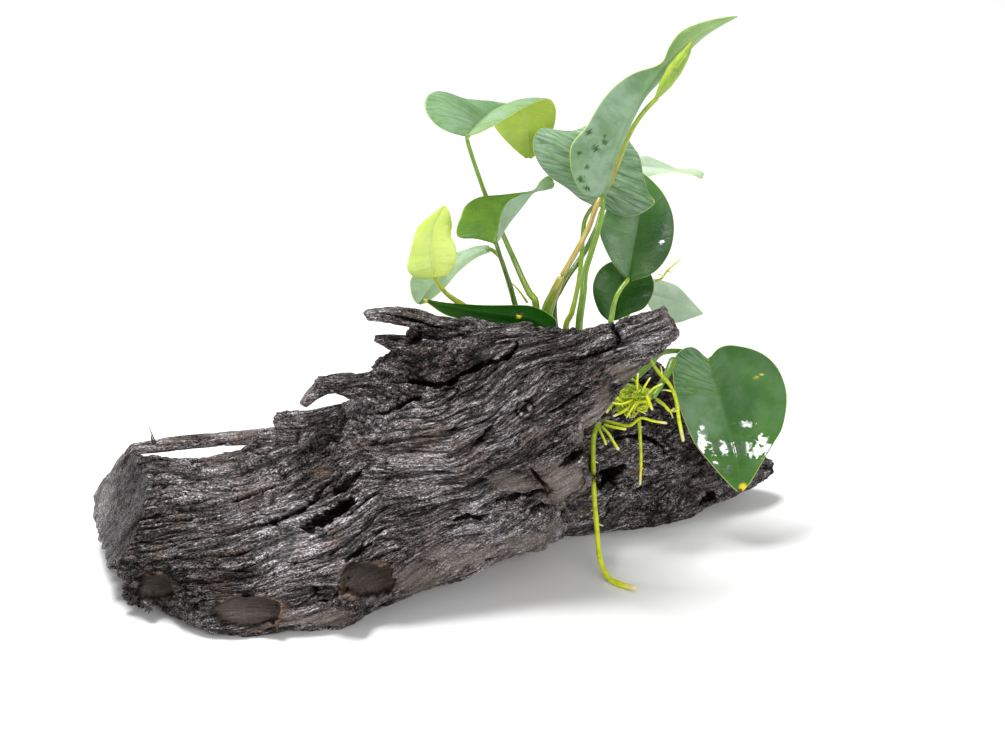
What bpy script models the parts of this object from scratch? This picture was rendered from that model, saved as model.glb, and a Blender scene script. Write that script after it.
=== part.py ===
"""An anubias growing on driftwood: a sawn, weathered trunk with two forks, and a plant rooted in the fork.

The row frame is +X right, +Y away from the front view and +Z up, in metres, with the origin on the ground
under the middle of the object. The front view looks along +Y and down by VIEW_TILT. Places on the plant are
read off that view with `seen`: column and row in a frame of 1005 by 754 pixels, and the depth Y in millimetres.
"""

import math

import bmesh
import bpy
import numpy as np
from mathutils import Vector, noise

MM = 0.001

# The front view: its scale sets the size of the whole object
PIXEL = 0.38 * MM
VIEW_CENTRE = (502.5, 377.0)
VIEW_TILT = math.radians(24)
VIEW_DISTANCE = 1200 * MM
VIEW_TARGET = Vector((24, -11, 80.6)) * MM

# From the place where the shapes are laid out to the row frame
FRAME_SHIFT = Vector((0.5, -1.2, 0)) * MM

# Wood
FINE_VOXEL = 1.6 * MM
WOOD_TRIANGLES = 3900
FIT_GAP = 0.3 * MM
RIDGE_LENGTH = 60 * MM
RIDGE_WIDTH = 8.5 * MM
RIDGE_HEIGHT = 1.15 * MM
LUMP_SIZE = 21 * MM
LUMP_HEIGHT = 1.5 * MM
SWIRL_SIZE = 46 * MM
SWIRL_DEPTH = 7 * MM
GRAIN_RISE = 0.22
SAW_POINT = Vector((-121, -20, 30)) * MM
SAW_NORMAL = Vector((-0.83, -0.21, 0.52))
HORN_SPLIT_POINT = Vector((52, -28, 82)) * MM
HORN_SPLIT_NORMAL = Vector((0.85, 0, 0.53))
REAR_SPLIT_POINT = Vector((60, 12, 30)) * MM
REAR_SPLIT_NORMAL = Vector((0.735, 0.678, 0))
CUTTER_SIZE = 600 * MM

# Plant
BLADE_THICKNESS = 0.8 * MM
BLADE_ROWS = 8
BLADE_COLUMNS = 3
BLADE_CURVE = 0.08
MIDRIB_EASE = 1.25
LEAF_GAP = 1.3 * MM
STALK_RADII = [0.9, 1.1, 1.2, 1.45]
STOUT_STALKS = {
    "leaf_tall": [1.1, 1.35, 1.5, 1.7], "leaf_top_left": [0.9, 1.0, 1.4, 1.8],
    "leaf_young": [1.0, 1.4, 1.5, 1.5], "leaf_broad_back": [0.9, 0.9, 1.2, 1.5],
}
RHIZOME_RADIUS = 4.4 * MM
RHIZOME_CLEARANCE = 1.2 * MM
RHIZOME_RADII = [3.4, 4.2, 4.4, 4.2, 2.6]
RHIZOME_PATH = [(26, 8, 71), (45, 8, 69), (62, 8, 67), (74, 7, 66), (80, 7, 65)]

# Sections of the trunk at X, in millimetres. Each goes round as (Y, Z): back foot, front foot, toe,
# low face, high face, front of the top, back of the top, high back, low back.
TRUNK_SECTIONS = {
    -142: [(11, 18), (-8, 21), (-24, 27), (-36, 33), (-40, 39), (-31, 48), (-6, 48), (12, 40), (17, 27)],
    -108: [(12, -1), (-43, -1), (-51, 7), (-54, 21), (-43, 34), (-27, 44), (-2, 42), (14, 35), (18, 16)],
    -85: [(14, -1), (-60, -1), (-70, 7), (-66, 19), (-45, 35), (-26, 41), (-2, 41), (15, 35), (20, 17)],
    -60: [(14, -1), (-60, -1), (-69, 8), (-65, 22), (-45, 40), (-27, 48), (-3, 50), (18, 43), (24, 18)],
    -35: [(18, 2), (-51, -1), (-64, 6), (-61, 24), (-46, 47), (-27, 63), (-5, 66), (18, 54), (27, 22)],
    -12: [(26, 5), (-38, 4), (-52, 10), (-56, 30), (-46, 58), (-29, 83), (-10, 89), (12, 64), (32, 28)],
    12: [(32, 5), (-26, 7), (-39, 13), (-49, 34), (-45, 61), (-30, 94), (-16, 101), (4, 66), (36, 30)],
    38: [(36, 6), (-11, 9), (-23, 13), (-36, 35), (-42, 61), (-35, 99), (-22, 105), (-2, 66), (24, 36)],
    54: [(30, 10), (-6, 12), (-15, 16), (-22, 38), (-35, 60), (-35, 98), (-24, 104), (-9, 68), (10, 42)],
}

# Sections of the rear limb, round as (Y, Z): back foot, front foot, low face, ledge, ridge, high back, low back
REAR_SECTIONS = {
    -40: [(16, 8), (0, 10), (-4, 20), (2, 34), (10, 38), (18, 32), (22, 18)],
    -10: [(46, 3), (10, 4), (4, 26), (8, 48), (28, 54), (46, 44), (54, 22)],
    25: [(58, -1), (14, -1), (6, 24), (10, 48), (34, 60), (58, 50), (66, 24)],
    62: [(68, -1), (17, -1), (12, 22), (17, 46), (42, 66), (66, 52), (72, 24)],
    88: [(70, -1), (26, -1), (23, 22), (27, 42), (42, 62), (64, 44), (71, 20)],
    108: [(64, 3), (36, 0), (33, 14), (36, 27), (46, 37), (60, 29), (65, 14)],
    126: [(58, 11), (43, 8), (41, 13), (43, 18), (48, 21), (56, 18), (58, 14)],
    134: [(53, 14), (48, 12), (47, 14), (48, 16), (50, 17), (52, 16), (53, 15)],
}

# Leaves in the front view: each margin and the midrib from the base to the tip, as (column, row, depth)
LEAVES = {
    "leaf_top_left": {
        "left": [(463, 136, 2), (448, 132, 0), (436, 125, 0), (427, 114, 2), (424, 104, 5), (428, 95, 9),
                 (439, 91, 14), (454, 97, 22), (475, 103, 30), (490, 111, 36), (495, 128, 40),
                 (514, 149, 40), (529, 161, 38)],
        "mid": [(467, 136, 2), (478, 125, 12), (492, 112, 24), (508, 105, 33), (522, 112, 39),
                (528, 136, 41), (529, 161, 38)],
        "right": [(471, 136, 2), (480, 133, 4), (492, 127, 9), (510, 116, 17), (527, 106, 26),
                  (541, 100, 33), (551, 100, 38), (556, 111, 41), (553, 130, 42), (543, 148, 41),
                  (529, 161, 38)],
        "stalk": [(467, 139, 4), (470, 150, 6), (478, 174, 12), (486, 196, 18), (496, 219, 20),
                  (504, 237, 18), (516, 264, 14), (523, 280, 12), (530, 294, 10), (536, 306, 9)],
        "foot": (37, 10.5, 76),
    },
    "leaf_tall": {
        "left": [(599, 197, 11), (584, 194, 8), (574, 179, 6), (570, 161, 5), (572, 144, 6), (586, 127, 8),
                 (601, 102, 11), (616, 85, 13), (634, 73, 16), (661, 63, 21), (670, 45, 24),
                 (684, 29, 26), (713, 19, 28), (741, 15, 30)],
        "mid": [(602, 196, 12), (607, 180, 12), (610, 165, 13), (620, 137, 15), (634, 108, 18),
                (646, 89, 20), (662, 68, 23), (683, 46, 26), (710, 27, 28), (741, 15, 30)],
        "right": [(605, 196, 13), (611, 181, 14), (614, 165, 15), (624, 139, 17), (638, 110, 20),
                  (649, 92, 23), (664, 77, 27), (682, 58, 29), (698, 43, 30), (713, 31, 30),
                  (726, 23, 30), (741, 15, 30)],
        "stalk": [(603, 199, 11), (602, 214, 10), (598, 231, 9), (591, 253, 8), (585, 273, 7),
                  (583, 295, 5), (579, 328, 4)],
        "foot": (54, 6.5, 74),
    },
    "leaf_broad_back": {
        "left": [(594, 206, 24), (580, 199, 24), (568, 189, 24), (548, 175, 23), (536, 158, 23),
                 (533, 141, 25), (540, 129, 28), (553, 129, 31), (572, 131, 34), (590, 124, 36),
                 (606, 116, 37)],
        "mid": [(597, 205, 24), (598, 180, 27), (600, 155, 30), (603, 134, 33), (606, 116, 37)],
        "right": [(601, 207, 24), (609, 211, 23), (623, 216, 22), (637, 215, 21), (650, 208, 21),
                  (655, 201, 22), (648, 191, 25), (643, 175, 28), (640, 158, 31), (634, 148, 33),
                  (622, 132, 35), (606, 116, 37)],
        "stalk": [(591, 209, 26), (585, 220, 25), (583, 232, 22), (582, 250, 19), (581, 263, 16),
                  (578, 285, 12), (572, 312, 9), (566, 328, 8)],
        "foot": (50, 9, 75),
    },
    "leaf_right_middle": {
        "left": [(624, 277, 24), (612, 262, 24), (603, 244, 27), (600, 232, 29), (604, 216, 33),
                 (612, 196, 37), (622, 178, 40), (633, 166, 42)],
        "mid": [(628, 279, 24), (632, 255, 28), (637, 230, 33), (640, 205, 37), (638, 182, 40),
                (633, 166, 42)],
        "right": [(632, 281, 24), (648, 276, 24), (660, 267, 26), (670, 251, 28), (674, 231, 31),
                  (672, 212, 34), (664, 194, 37), (653, 181, 40), (643, 173, 41), (633, 166, 42)],
        "stalk": [(627, 281, 21), (620, 290, 18), (615, 301, 15), (612, 315, 13), (610, 329, 10)],
        "foot": (64, 8, 73),
    },
    "leaf_round_low": {
        "left": [(609, 321, 26), (600, 313, 26), (594, 298, 27), (593, 284, 28), (599, 270, 31),
                 (610, 262, 34), (619, 262, 36), (628, 265, 37)],
        "mid": [(612, 321, 26), (616, 305, 28), (621, 285, 32), (628, 265, 37)],
        "right": [(616, 320, 26), (630, 314, 27), (644, 308, 27), (652, 296, 28), (654, 284, 31),
                  (650, 273, 34), (640, 266, 36), (628, 265, 37)],
        "stalk": [(612, 324, 24), (613, 336, 20), (615, 350, 14)],
        "foot": (69, 9, 72),
    },
    "leaf_far_right": {
        "left": [(648, 291, 41), (649, 283, 43), (654, 279, 44), (664, 281, 45), (678, 287, 46),
                 (689, 298, 45), (704, 314, 42)],
        "mid": [(648, 294, 40), (665, 298, 41), (682, 304, 42), (704, 314, 42)],
        "right": [(647, 297, 39), (649, 307, 37), (660, 318, 36), (675, 323, 36), (690, 319, 39),
                  (704, 314, 42)],
        "stalk": [(645, 295, 41), (636, 300, 39), (626, 318, 34), (620, 335, 24)],
        "foot": (74, 9, 71),
    },
    "leaf_edge_on": {
        "left": [(631, 164, 47), (637, 158, 49), (646, 156, 51), (660, 161, 52), (678, 169, 51),
                 (694, 169, 50), (703, 172, 49), (704, 177, 48)],
        "mid": [(631, 167, 46), (650, 167, 47), (672, 170, 48), (694, 172, 48), (704, 177, 48)],
        "right": [(631, 170, 45), (637, 176, 43), (646, 177, 43), (660, 174, 44), (678, 172, 45),
                  (692, 175, 46), (701, 179, 47), (704, 177, 48)],
        "stalk": [(628, 169, 46), (622, 175, 47), (612, 190, 46), (602, 210, 41), (597, 226, 34),
                  (588, 246, 25), (578, 262, 18), (568, 276, 14), (560, 290, 12), (554, 308, 10)],
        "foot": (46, 11, 75),
    },
    "leaf_folded": {
        "left": [(493, 243, 2), (476, 239, -1), (460, 238, -3), (456, 232, -2), (459, 220, 1),
                 (465, 206, 6), (475, 199, 9), (487, 196, 12), (503, 195, 15), (518, 193, 18),
                 (533, 190, 21), (540, 181, 23), (548, 176, 25), (555, 182, 26)],
        "mid": [(496, 243, 2), (498, 228, 5), (501, 214, 9), (507, 203, 13), (518, 196, 17),
                (533, 191, 21), (546, 184, 24), (555, 182, 26)],
        "right": [(499, 241, 3), (506, 229, 9), (515, 216, 14), (525, 204, 18), (535, 192, 22),
                  (546, 190, 23), (553, 188, 25), (555, 182, 26)],
        "stalk": [(497, 246, 1), (503, 265, 3), (510, 285, 4), (515, 304, 4), (524, 330, 5)],
        "foot": (33, 5.5, 76),
    },
    "leaf_young": {
        "left": [(432, 278, -2), (420, 279, -3), (411, 275, -3), (407, 268, -2), (409, 257, 0),
                 (413, 241, 2), (418, 227, 4), (430, 216, 5), (445, 204, 6)],
        "mid": [(435, 277, -2), (433, 262, -1), (432, 245, 1), (434, 228, 3), (440, 214, 5),
                (445, 204, 6)],
        "right": [(438, 278, -2), (446, 276, -3), (452, 270, -3), (456, 259, -2), (456, 247, 0),
                  (451, 236, 2), (452, 226, 4), (450, 213, 5), (445, 204, 6)],
        "stalk": [(436, 280, -1), (441, 287, 0), (447, 294, 3), (455, 300, 6), (464, 306, 8),
                  (482, 319, 10), (505, 340, 9)],
        "foot": (28.5, 8, 78),
    },
    "leaf_low_left": {
        "left": [(489, 245, 11), (476, 246, 13), (457, 252, 14), (440, 259, 15), (422, 269, 15),
                 (411, 278, 14), (410, 288, 12), (413, 299, 10), (418, 305, 8)],
        "mid": [(488, 249, 10), (470, 256, 10), (450, 268, 10), (432, 284, 10), (418, 305, 8)],
        "right": [(490, 252, 9), (480, 256, 7), (469, 263, 6), (458, 273, 6), (447, 285, 6),
                  (436, 296, 7), (426, 303, 8), (418, 305, 8)],
        "stalk": [(492, 250, 12), (500, 257, 13), (504, 267, 14), (509, 284, 14), (515, 304, 13), (520, 328, 12)],
        "foot": (32, 10.5, 77),
    },
    "leaf_resting": {
        "left": [(556, 327, -3), (556, 320, -2), (546, 312, 0), (532, 306, 1), (516, 305, 1),
                 (480, 305, 0), (440, 302, -2), (422, 298, -4)],
        "mid": [(554, 329, -4), (530, 318, -3), (500, 314, -3), (465, 309, -3), (440, 304, -4),
                (422, 298, -4)],
        "right": [(551, 331, -5), (532, 331, -5), (515, 332, -5), (503, 329, -5), (480, 323, -5),
                  (448, 316, -5), (430, 305, -5), (422, 298, -4)],
        "stalk": [(554, 333, -2), (556, 343, 0)],
        "foot": (47.5, 4, 77),
    },
    "leaf_front_right": {
        "left": [(705, 357, 25), (698, 350, 25), (690, 347, 25), (680, 351, 24), (673, 362, 22),
                 (673, 379, 19), (677, 399, 17), (685, 422, 14), (695, 444, 11), (711, 464, 8),
                 (727, 482, 6), (740, 494, 5)],
        "mid": [(708, 360, 24), (716, 385, 20), (724, 410, 16), (732, 440, 11), (738, 468, 7),
                (740, 494, 5)],
        "right": [(711, 356, 25), (719, 348, 27), (731, 345, 28), (752, 349, 28), (769, 358, 28),
                  (781, 374, 26), (787, 397, 22), (783, 426, 17), (774, 443, 14), (762, 463, 10),
                  (750, 483, 6), (740, 494, 5)],
        "stalk": [(706, 360, 27), (692, 354, 29), (678, 351, 28), (662, 353, 24), (650, 364, 15)],
        "foot": (76, 8, 72.5),
    },
}

BUD_PATH = [(657, 97, 16), (665, 85, 16), (676, 68, 17), (686, 53, 18), (692, 42, 19)]
BUD_RADII = [0.9, 2.2, 2.6, 1.9, 0.5]
PEDUNCLE_PATH = [(656, 99, 16.5), (643, 113, 19), (631, 131, 22), (621, 155, 23), (612, 179, 22),
                 (602, 195, 19), (596, 207, 16), (589, 227, 14), (577, 250, 10), (563, 274, 6)]
SHEATH_PATH = [(560, 280, 5), (555, 291, 4), (548, 308, 5), (546, 325, 5)]
SHEATH_RADII = [1.6, 2.3, 2.7, 1.9]
SHEATH_FOOT = (41.5, 6, 77)
SHOOT_PATH = [(673, 361, 18), (667, 374, 13), (660, 386, 5), (654, 396, 0.5)]
SHOOT_RADII = [1.7, 1.5, 1.2, 1.1]

# Roots: radius at the start and the end in millimetres, then the path
ROOTS = {
    "root_long": (1.0, 1.1, [(599, 424, 4), (595, 432, 2), (593, 450, -1), (594, 492, -7), (597, 530, -12),
                             (600, 559, -18), (608, 577, -24), (620, 584, -29), (634, 588, -33)]),
    "root_hanging": (0.8, 0.5, [(639, 420, 4), (640, 436, 5), (641, 460, 6), (640, 484, 7)]),
    "root_right": (0.8, 0.8, [(651, 361, 6), (659, 373, 5), (670, 385, 5), (676, 400, 8),
                              (679, 420, 10), (683, 440, 10)]),
    "root_forked": (0.8, 0.6, [(657, 400, 8), (664, 405, 10), (670, 411, 11), (674, 409, 12)]),
    "root_wandering": (0.7, 0.5, [(606, 421, 3), (622, 425, 1), (631, 425, 0), (641, 418, -1),
                                  (653, 421, -1), (666, 423, 0)]),
    "root_short_upper": (0.6, 0.6, [(605, 425, 1), (613, 427, 0), (625, 429, 0)]),
    "root_short_middle": (0.6, 0.6, [(602, 427, 1), (608, 433, 0), (613, 441, 0), (618, 449, 0)]),
    "root_short_lower": (0.6, 0.5, [(599, 429, 0), (603, 437, -1), (606, 444, -1)]),
    "root_upper_right": (0.5, 0.3, [(656, 281, 32), (662, 278, 33), (668, 270, 34), (681, 259, 35)]),
    "root_wood_top": (0.5, 0.3, [(527, 302, 12), (520, 292, 11), (513, 284, 10)]),
}
TANGLE_CENTRE = (630, 402, 0)
TANGLE_SIZE = (18, 6.4, 12)
TANGLE_ROUGHNESS = 0.22


def place(x, y, z):
    """A point in the row frame, given in millimetres."""
    return Vector((x, y, z)) * MM


def seen(column, row, depth):
    """The point at Y = depth millimetres that the front view shows at a column and row."""
    forward = Vector((0, math.cos(VIEW_TILT), -math.sin(VIEW_TILT)))
    upward = Vector((0, math.sin(VIEW_TILT), math.cos(VIEW_TILT)))
    eye = VIEW_TARGET - VIEW_DISTANCE * forward
    across = (column - VIEW_CENTRE[0]) * PIXEL
    up = (VIEW_CENTRE[1] - row) * PIXEL
    ray = VIEW_DISTANCE * forward + Vector((across, 0, 0)) + up * upward
    return eye + ray * ((depth * MM - eye.y) / ray.y)


def clear_scene():
    for obj in list(bpy.data.objects):
        bpy.data.objects.remove(obj)


def material(name, colour, roughness):
    made = bpy.data.materials.new(name)
    made.use_nodes = True
    shader = made.node_tree.nodes["Principled BSDF"]
    shader.inputs["Base Color"].default_value = (*colour, 1)
    shader.inputs["Roughness"].default_value = roughness
    shader.inputs["Metallic"].default_value = 0
    return made


def add_object(name, data, collection, finish=None):
    obj = bpy.data.objects.new(name, data)
    collection.objects.link(obj)
    if finish:
        data.materials.append(finish)
    return obj


def spline(points, count, closed=False):
    """`count` points at even arc lengths on a smooth curve through `points`."""
    knots = [Vector(p) for p in points]
    spans = len(knots) if closed else len(knots) - 1
    steps = 12
    dense = []
    for i in range(spans):
        if closed:
            a, b, c, d = (knots[(i + k) % len(knots)] for k in (-1, 0, 1, 2))
        else:
            a, b, c, d = (knots[min(max(i + k, 0), spans)] for k in (-1, 0, 1, 2))
        for s in range(steps):
            t = s / steps
            dense.append(0.5 * (2 * b + (c - a) * t + (2 * a - 5 * b + 4 * c - d) * t ** 2
                                + (3 * b - a - 3 * c + d) * t ** 3))
    dense.append(dense[0] if closed else knots[-1])
    dense = np.array(dense)
    lengths = np.concatenate([[0], np.cumsum(np.linalg.norm(np.diff(dense, axis=0), axis=1))])
    wanted = np.linspace(0, lengths[-1], count + 1)[:-1] if closed else np.linspace(0, lengths[-1], count)
    return [Vector([np.interp(w, lengths, dense[:, k]) for k in range(dense.shape[1])]) for w in wanted]


def loft(name, rings, collection):
    """A closed mesh through rings of the same number of points."""
    mesh = bmesh.new()
    loops = [[mesh.verts.new(p) for p in ring] for ring in rings]
    for first, second in zip(loops, loops[1:]):
        for i in range(len(first)):
            j = (i + 1) % len(first)
            mesh.faces.new((first[i], first[j], second[j], second[i]))
    mesh.faces.new(reversed(loops[0]))
    mesh.faces.new(loops[-1])
    bmesh.ops.recalc_face_normals(mesh, faces=mesh.faces)
    data = bpy.data.meshes.new(name)
    mesh.to_mesh(data)
    mesh.free()
    return add_object(name, data, collection)


def section_loft(name, sections, around, rings, collection):
    """A loft through sections that stand at X positions, smooth round and along."""
    stations = sorted(sections)
    outlines = [spline([(y, z) for y, z in sections[x]], around, closed=True) for x in stations]
    rails = []
    for i in range(around):
        rail = [Vector((x, *outline[i])) * MM for x, outline in zip(stations, outlines)]
        rails.append(spline(rail, rings))
    return loft(name, [[rail[k] for rail in rails] for k in range(rings)], collection)


def limb(name, path, sizes, collection, around=12, count=10, flat=0.0):
    """A tapering limb along a path. Each size is (half depth, half height) in millimetres."""
    centres = spline(path, count)
    halves = spline([Vector((*size, 0)) for size in sizes], count)
    rings = []
    for k, centre in enumerate(centres):
        ahead = centres[min(k + 1, count - 1)] - centres[max(k - 1, 0)]
        side = Vector((0, 1, 0)) - ahead * ahead.y / ahead.length_squared
        side.normalize()
        over = ahead.cross(side).normalized()
        ring = []
        for i in range(around):
            angle = 2 * math.pi * i / around
            c, s = math.cos(angle), math.sin(angle)
            square = 1 - flat * (1 - max(abs(c), abs(s)))
            ring.append(centre + (side * c * halves[k][0] + over * s * halves[k][1]) * MM / square)
        rings.append(ring)
    return loft(name, rings, collection)


def applied(obj, collection):
    """A new mesh object holding obj as its modifiers leave it. obj is removed."""
    bpy.context.view_layer.update()
    graph = bpy.context.evaluated_depsgraph_get()
    data = bpy.data.meshes.new_from_object(obj.evaluated_get(graph))
    data.transform(obj.matrix_world)
    name = obj.name
    bpy.data.objects.remove(obj)
    return add_object(name, data, collection)


def fused(name, objects, voxel, collection):
    """The objects as one skin, by a voxel remesh."""
    mesh = bmesh.new()
    for obj in objects:
        mesh.from_mesh(obj.data)
        bpy.data.objects.remove(obj)
    data = bpy.data.meshes.new(name)
    mesh.to_mesh(data)
    mesh.free()
    obj = add_object(name, data, collection)
    remesh = obj.modifiers.new("Fuse", "REMESH")
    remesh.mode = "VOXEL"
    remesh.voxel_size = voxel
    return applied(obj, collection)


def ridge_height(point):
    """How far the weathered surface stands out at a point: long ridges with the grain, and lumps."""
    swirl = SWIRL_DEPTH * noise.noise(point / SWIRL_SIZE)
    across_grain = point.z - GRAIN_RISE * point.x + swirl
    grain = Vector(((point.x + 6 * swirl) / RIDGE_LENGTH, point.y / RIDGE_WIDTH, across_grain / RIDGE_WIDTH))
    ridges = 1 - 2 * abs(noise.noise(grain))
    lumps = noise.noise(point / LUMP_SIZE + Vector((3.1, 7.7, 1.3)))
    return RIDGE_HEIGHT * (ridges - 0.45) + LUMP_HEIGHT * lumps


def roughened(obj):
    """Moves each point of the wood along its normal by the ridges."""
    normals = [v.normal.copy() for v in obj.data.vertices]
    for vertex, normal in zip(obj.data.vertices, normals):
        vertex.co += normal * ridge_height(vertex.co)


def keep_clear(obj, path, radius):
    """Pushes the wood back to `radius` from a path, so that what lies there has its seat."""
    line = np.array(spline(path, 40))
    for vertex in obj.data.vertices:
        offsets = np.array(vertex.co) - line
        distances = np.linalg.norm(offsets, axis=1)
        nearest = distances.argmin()
        if distances[nearest] < radius:
            vertex.co = Vector(line[nearest] + offsets[nearest] * radius / max(distances[nearest], 1e-6))


def slab_cutter(name, point, normal, collection):
    """A large block whose near face passes through a point, on the side that the normal points to."""
    bpy.ops.mesh.primitive_cube_add(size=CUTTER_SIZE)
    cutter = bpy.context.object
    cutter.name = name
    for owner in list(cutter.users_collection):
        owner.objects.unlink(cutter)
    collection.objects.link(cutter)
    cutter.rotation_mode = "QUATERNION"
    cutter.rotation_quaternion = normal.to_track_quat("Z", "Y")
    cutter.location = point + normal.normalized() * CUTTER_SIZE / 2
    cutter.hide_render = True
    cutter.display_type = "WIRE"
    return cutter


def cut(obj, cutter, operation, collection):
    boolean = obj.modifiers.new(cutter.name, "BOOLEAN")
    boolean.operation = operation
    boolean.solver = "EXACT"
    boolean.object = cutter
    return applied(obj, collection)


def largest_piece(obj):
    """Drops the crumbs that a cut leaves beside the main body."""
    mesh = bmesh.new()
    mesh.from_mesh(obj.data)
    left = set(mesh.verts)
    groups = []
    while left:
        group, edge = set(), [left.pop()]
        while edge:
            vertex = edge.pop()
            group.add(vertex)
            for link in vertex.link_edges:
                other = link.other_vert(vertex)
                if other in left:
                    left.remove(other)
                    edge.append(other)
        groups.append(group)
    groups.sort(key=len)
    for group in groups[:-1]:
        bmesh.ops.delete(mesh, geom=list(group), context="VERTS")
    mesh.to_mesh(obj.data)
    mesh.free()


def copied(name, obj, collection):
    return add_object(name, obj.data.copy(), collection)


def wood_forms(workshop):
    """The closed shapes that the driftwood is fused from."""
    forms = [
        section_loft("trunk_form", TRUNK_SECTIONS, 26, 24, workshop),
        section_loft("rear_form", REAR_SECTIONS, 22, 22, workshop),
    ]
    # The raised fork ends in a blunt broken tip
    forms.append(limb("horn_form", [seen(548, 394, -22), seen(577, 378, -25), seen(601, 362, -28),
                                    seen(622, 349, -30), seen(645, 335, -31), seen(661, 326, -31),
                                    seen(672, 320, -31)],
                      [(11, 18), (13, 18), (12.5, 13.5), (12, 11.3), (10, 9.6), (9, 8.2), (7, 6)], workshop, flat=0.25))
    # Weathered plates and splinters along the top, from the left end to the high prong
    forms.append(limb("splinter_form", [seen(129, 452, -18), seen(150, 448, -17), seen(171, 445, -17),
                                        seen(210, 440, -16), seen(246, 438, -16), seen(300, 436, -18)],
                      [(2.2, 1.5), (2.8, 2.1), (3.2, 2.5), (3.6, 2.5), (4.4, 2.8), (5, 4)], workshop, 8, 10, 0.3))
    forms.append(limb("flake_form", [seen(276, 420, -16), seen(300, 421, -16), seen(340, 420, -18)],
                      [(4, 2.2), (6, 3.2), (7, 5)], workshop, 8, 6, 0.6))
    forms.append(limb("hook_form", [seen(303, 405, -20), seen(313, 394, -19), seen(326, 385, -18)],
                      [(3, 1.6), (3.6, 2.6), (4, 3)], workshop, 8, 5, 0.5))
    forms.append(limb("plate_form", [seen(316, 382, -18), seen(335, 383, -18), seen(360, 386, -18),
                                     seen(390, 391, -20), seen(420, 400, -24)],
                      [(2.6, 2.0), (4, 4.2), (6, 6.5), (8, 9), (10, 10)], workshop, 10, 8, 0.5))
    forms.append(limb("shelf_form", [seen(370, 370, -18), seen(388, 366, -18), seen(412, 370, -19)],
                      [(3, 1.6), (5, 6), (7, 9)], workshop, 8, 6, 0.5))
    forms.append(limb("beak_form", [seen(374, 338, -17), seen(392, 343, -17), seen(415, 352, -18),
                                    seen(445, 362, -20), seen(470, 370, -24)],
                      [(1.8, 1.0), (4, 4), (7, 9), (9, 13), (10, 14)], workshop, 10, 8, 0.4))
    forms.append(limb("prong_form", [seen(366, 315, -16), seen(385, 315, -16), seen(410, 318, -15),
                                     seen(440, 326, -16), seen(480, 336, -19), seen(530, 345, -22)],
                      [(2.6, 1.8), (4, 3.2), (5.5, 3.2), (7, 4), (8, 5), (9, 8)], workshop, 10, 12, 0.4))
    # Behind the hollow between the two prongs
    forms.append(limb("web_form", [seen(407, 337, -12), seen(430, 343, -13), seen(460, 352, -16)],
                      [(2, 4.5), (3, 7), (5, 9)], workshop, 8, 5, 0.3))
    # Sawn stubs of side shoots along the lower front
    forms.append(limb("stub_form", [place(-30, -40, 22), place(-34, -58, 14), place(-36, -66, 9)],
                      [(10.5, 8.5), (10, 8), (9.5, 7.5)], workshop, 12, 5, 0.1))
    forms.append(limb("low_stub_form", [place(-66, -44, 14), place(-68, -64, 7), place(-69, -69, 6)],
                      [(9, 6), (12, 5.5), (11, 5)], workshop, 12, 5, 0.2))
    forms.append(limb("side_stub_form", [place(-100, -35, 14), place(-110, -48, 10), place(-114, -54, 9)],
                      [(9, 7), (8, 6.5), (7, 5.5)], workshop, 10, 5, 0.3))
    # The broken step where the trunk ends in front of the rear limb
    forms.append(limb("step_form", [place(20, -22, 34), place(40, -14, 38), place(57, -8, 42)],
                      [(9, 10), (8, 9), (6, 7)], workshop, 8, 5, 0.7))
    return forms


def make_wood(parts, workshop, finish):
    """The driftwood: one weathered body, sawn at its left end and under its feet, in three at its forks."""
    body = fused("wood", wood_forms(workshop), FINE_VOXEL, workshop)
    roughened(body)
    keep_clear(body, [place(*p) for p in RHIZOME_PATH], RHIZOME_RADIUS + RHIZOME_CLEARANCE)
    decimate = body.modifiers.new("Facets", "DECIMATE")
    decimate.ratio = WOOD_TRIANGLES / (2 * len(body.data.polygons))
    body = applied(body, workshop)
    ground = slab_cutter("ground_cutter", Vector((0, 0, 0)), Vector((0, 0, -1)), workshop)
    saw = slab_cutter("saw_cutter", SAW_POINT, SAW_NORMAL, workshop)
    for cutter in (ground, saw):
        body = cut(body, cutter, "DIFFERENCE", workshop)
    gap = FIT_GAP / 2
    rear = copied("driftwood_rear_limb", body, workshop)
    rear_side = slab_cutter("rear_cutter", REAR_SPLIT_POINT + REAR_SPLIT_NORMAL * gap,
                            REAR_SPLIT_NORMAL, workshop)
    rest_side = slab_cutter("rest_cutter", REAR_SPLIT_POINT - REAR_SPLIT_NORMAL * gap,
                            REAR_SPLIT_NORMAL, workshop)
    rear = cut(rear, rear_side, "INTERSECT", workshop)
    body = cut(body, rest_side, "DIFFERENCE", workshop)
    largest_piece(body)
    horn = copied("driftwood_horn", body, workshop)
    horn_side = slab_cutter("horn_cutter", HORN_SPLIT_POINT + HORN_SPLIT_NORMAL * gap,
                            HORN_SPLIT_NORMAL, workshop)
    trunk_side = slab_cutter("trunk_cutter", HORN_SPLIT_POINT - HORN_SPLIT_NORMAL * gap,
                             HORN_SPLIT_NORMAL, workshop)
    horn = cut(horn, horn_side, "INTERSECT", workshop)
    body = cut(body, trunk_side, "DIFFERENCE", workshop)
    body.name = "driftwood_trunk"
    for piece in (body, horn, rear):
        largest_piece(piece)
        workshop.objects.unlink(piece)
        parts.objects.link(piece)
        piece.data.materials.clear()
        piece.data.materials.append(finish)
        piece.data.shade_smooth()
        piece.data.set_sharp_from_angle(angle=math.radians(35))


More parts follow.
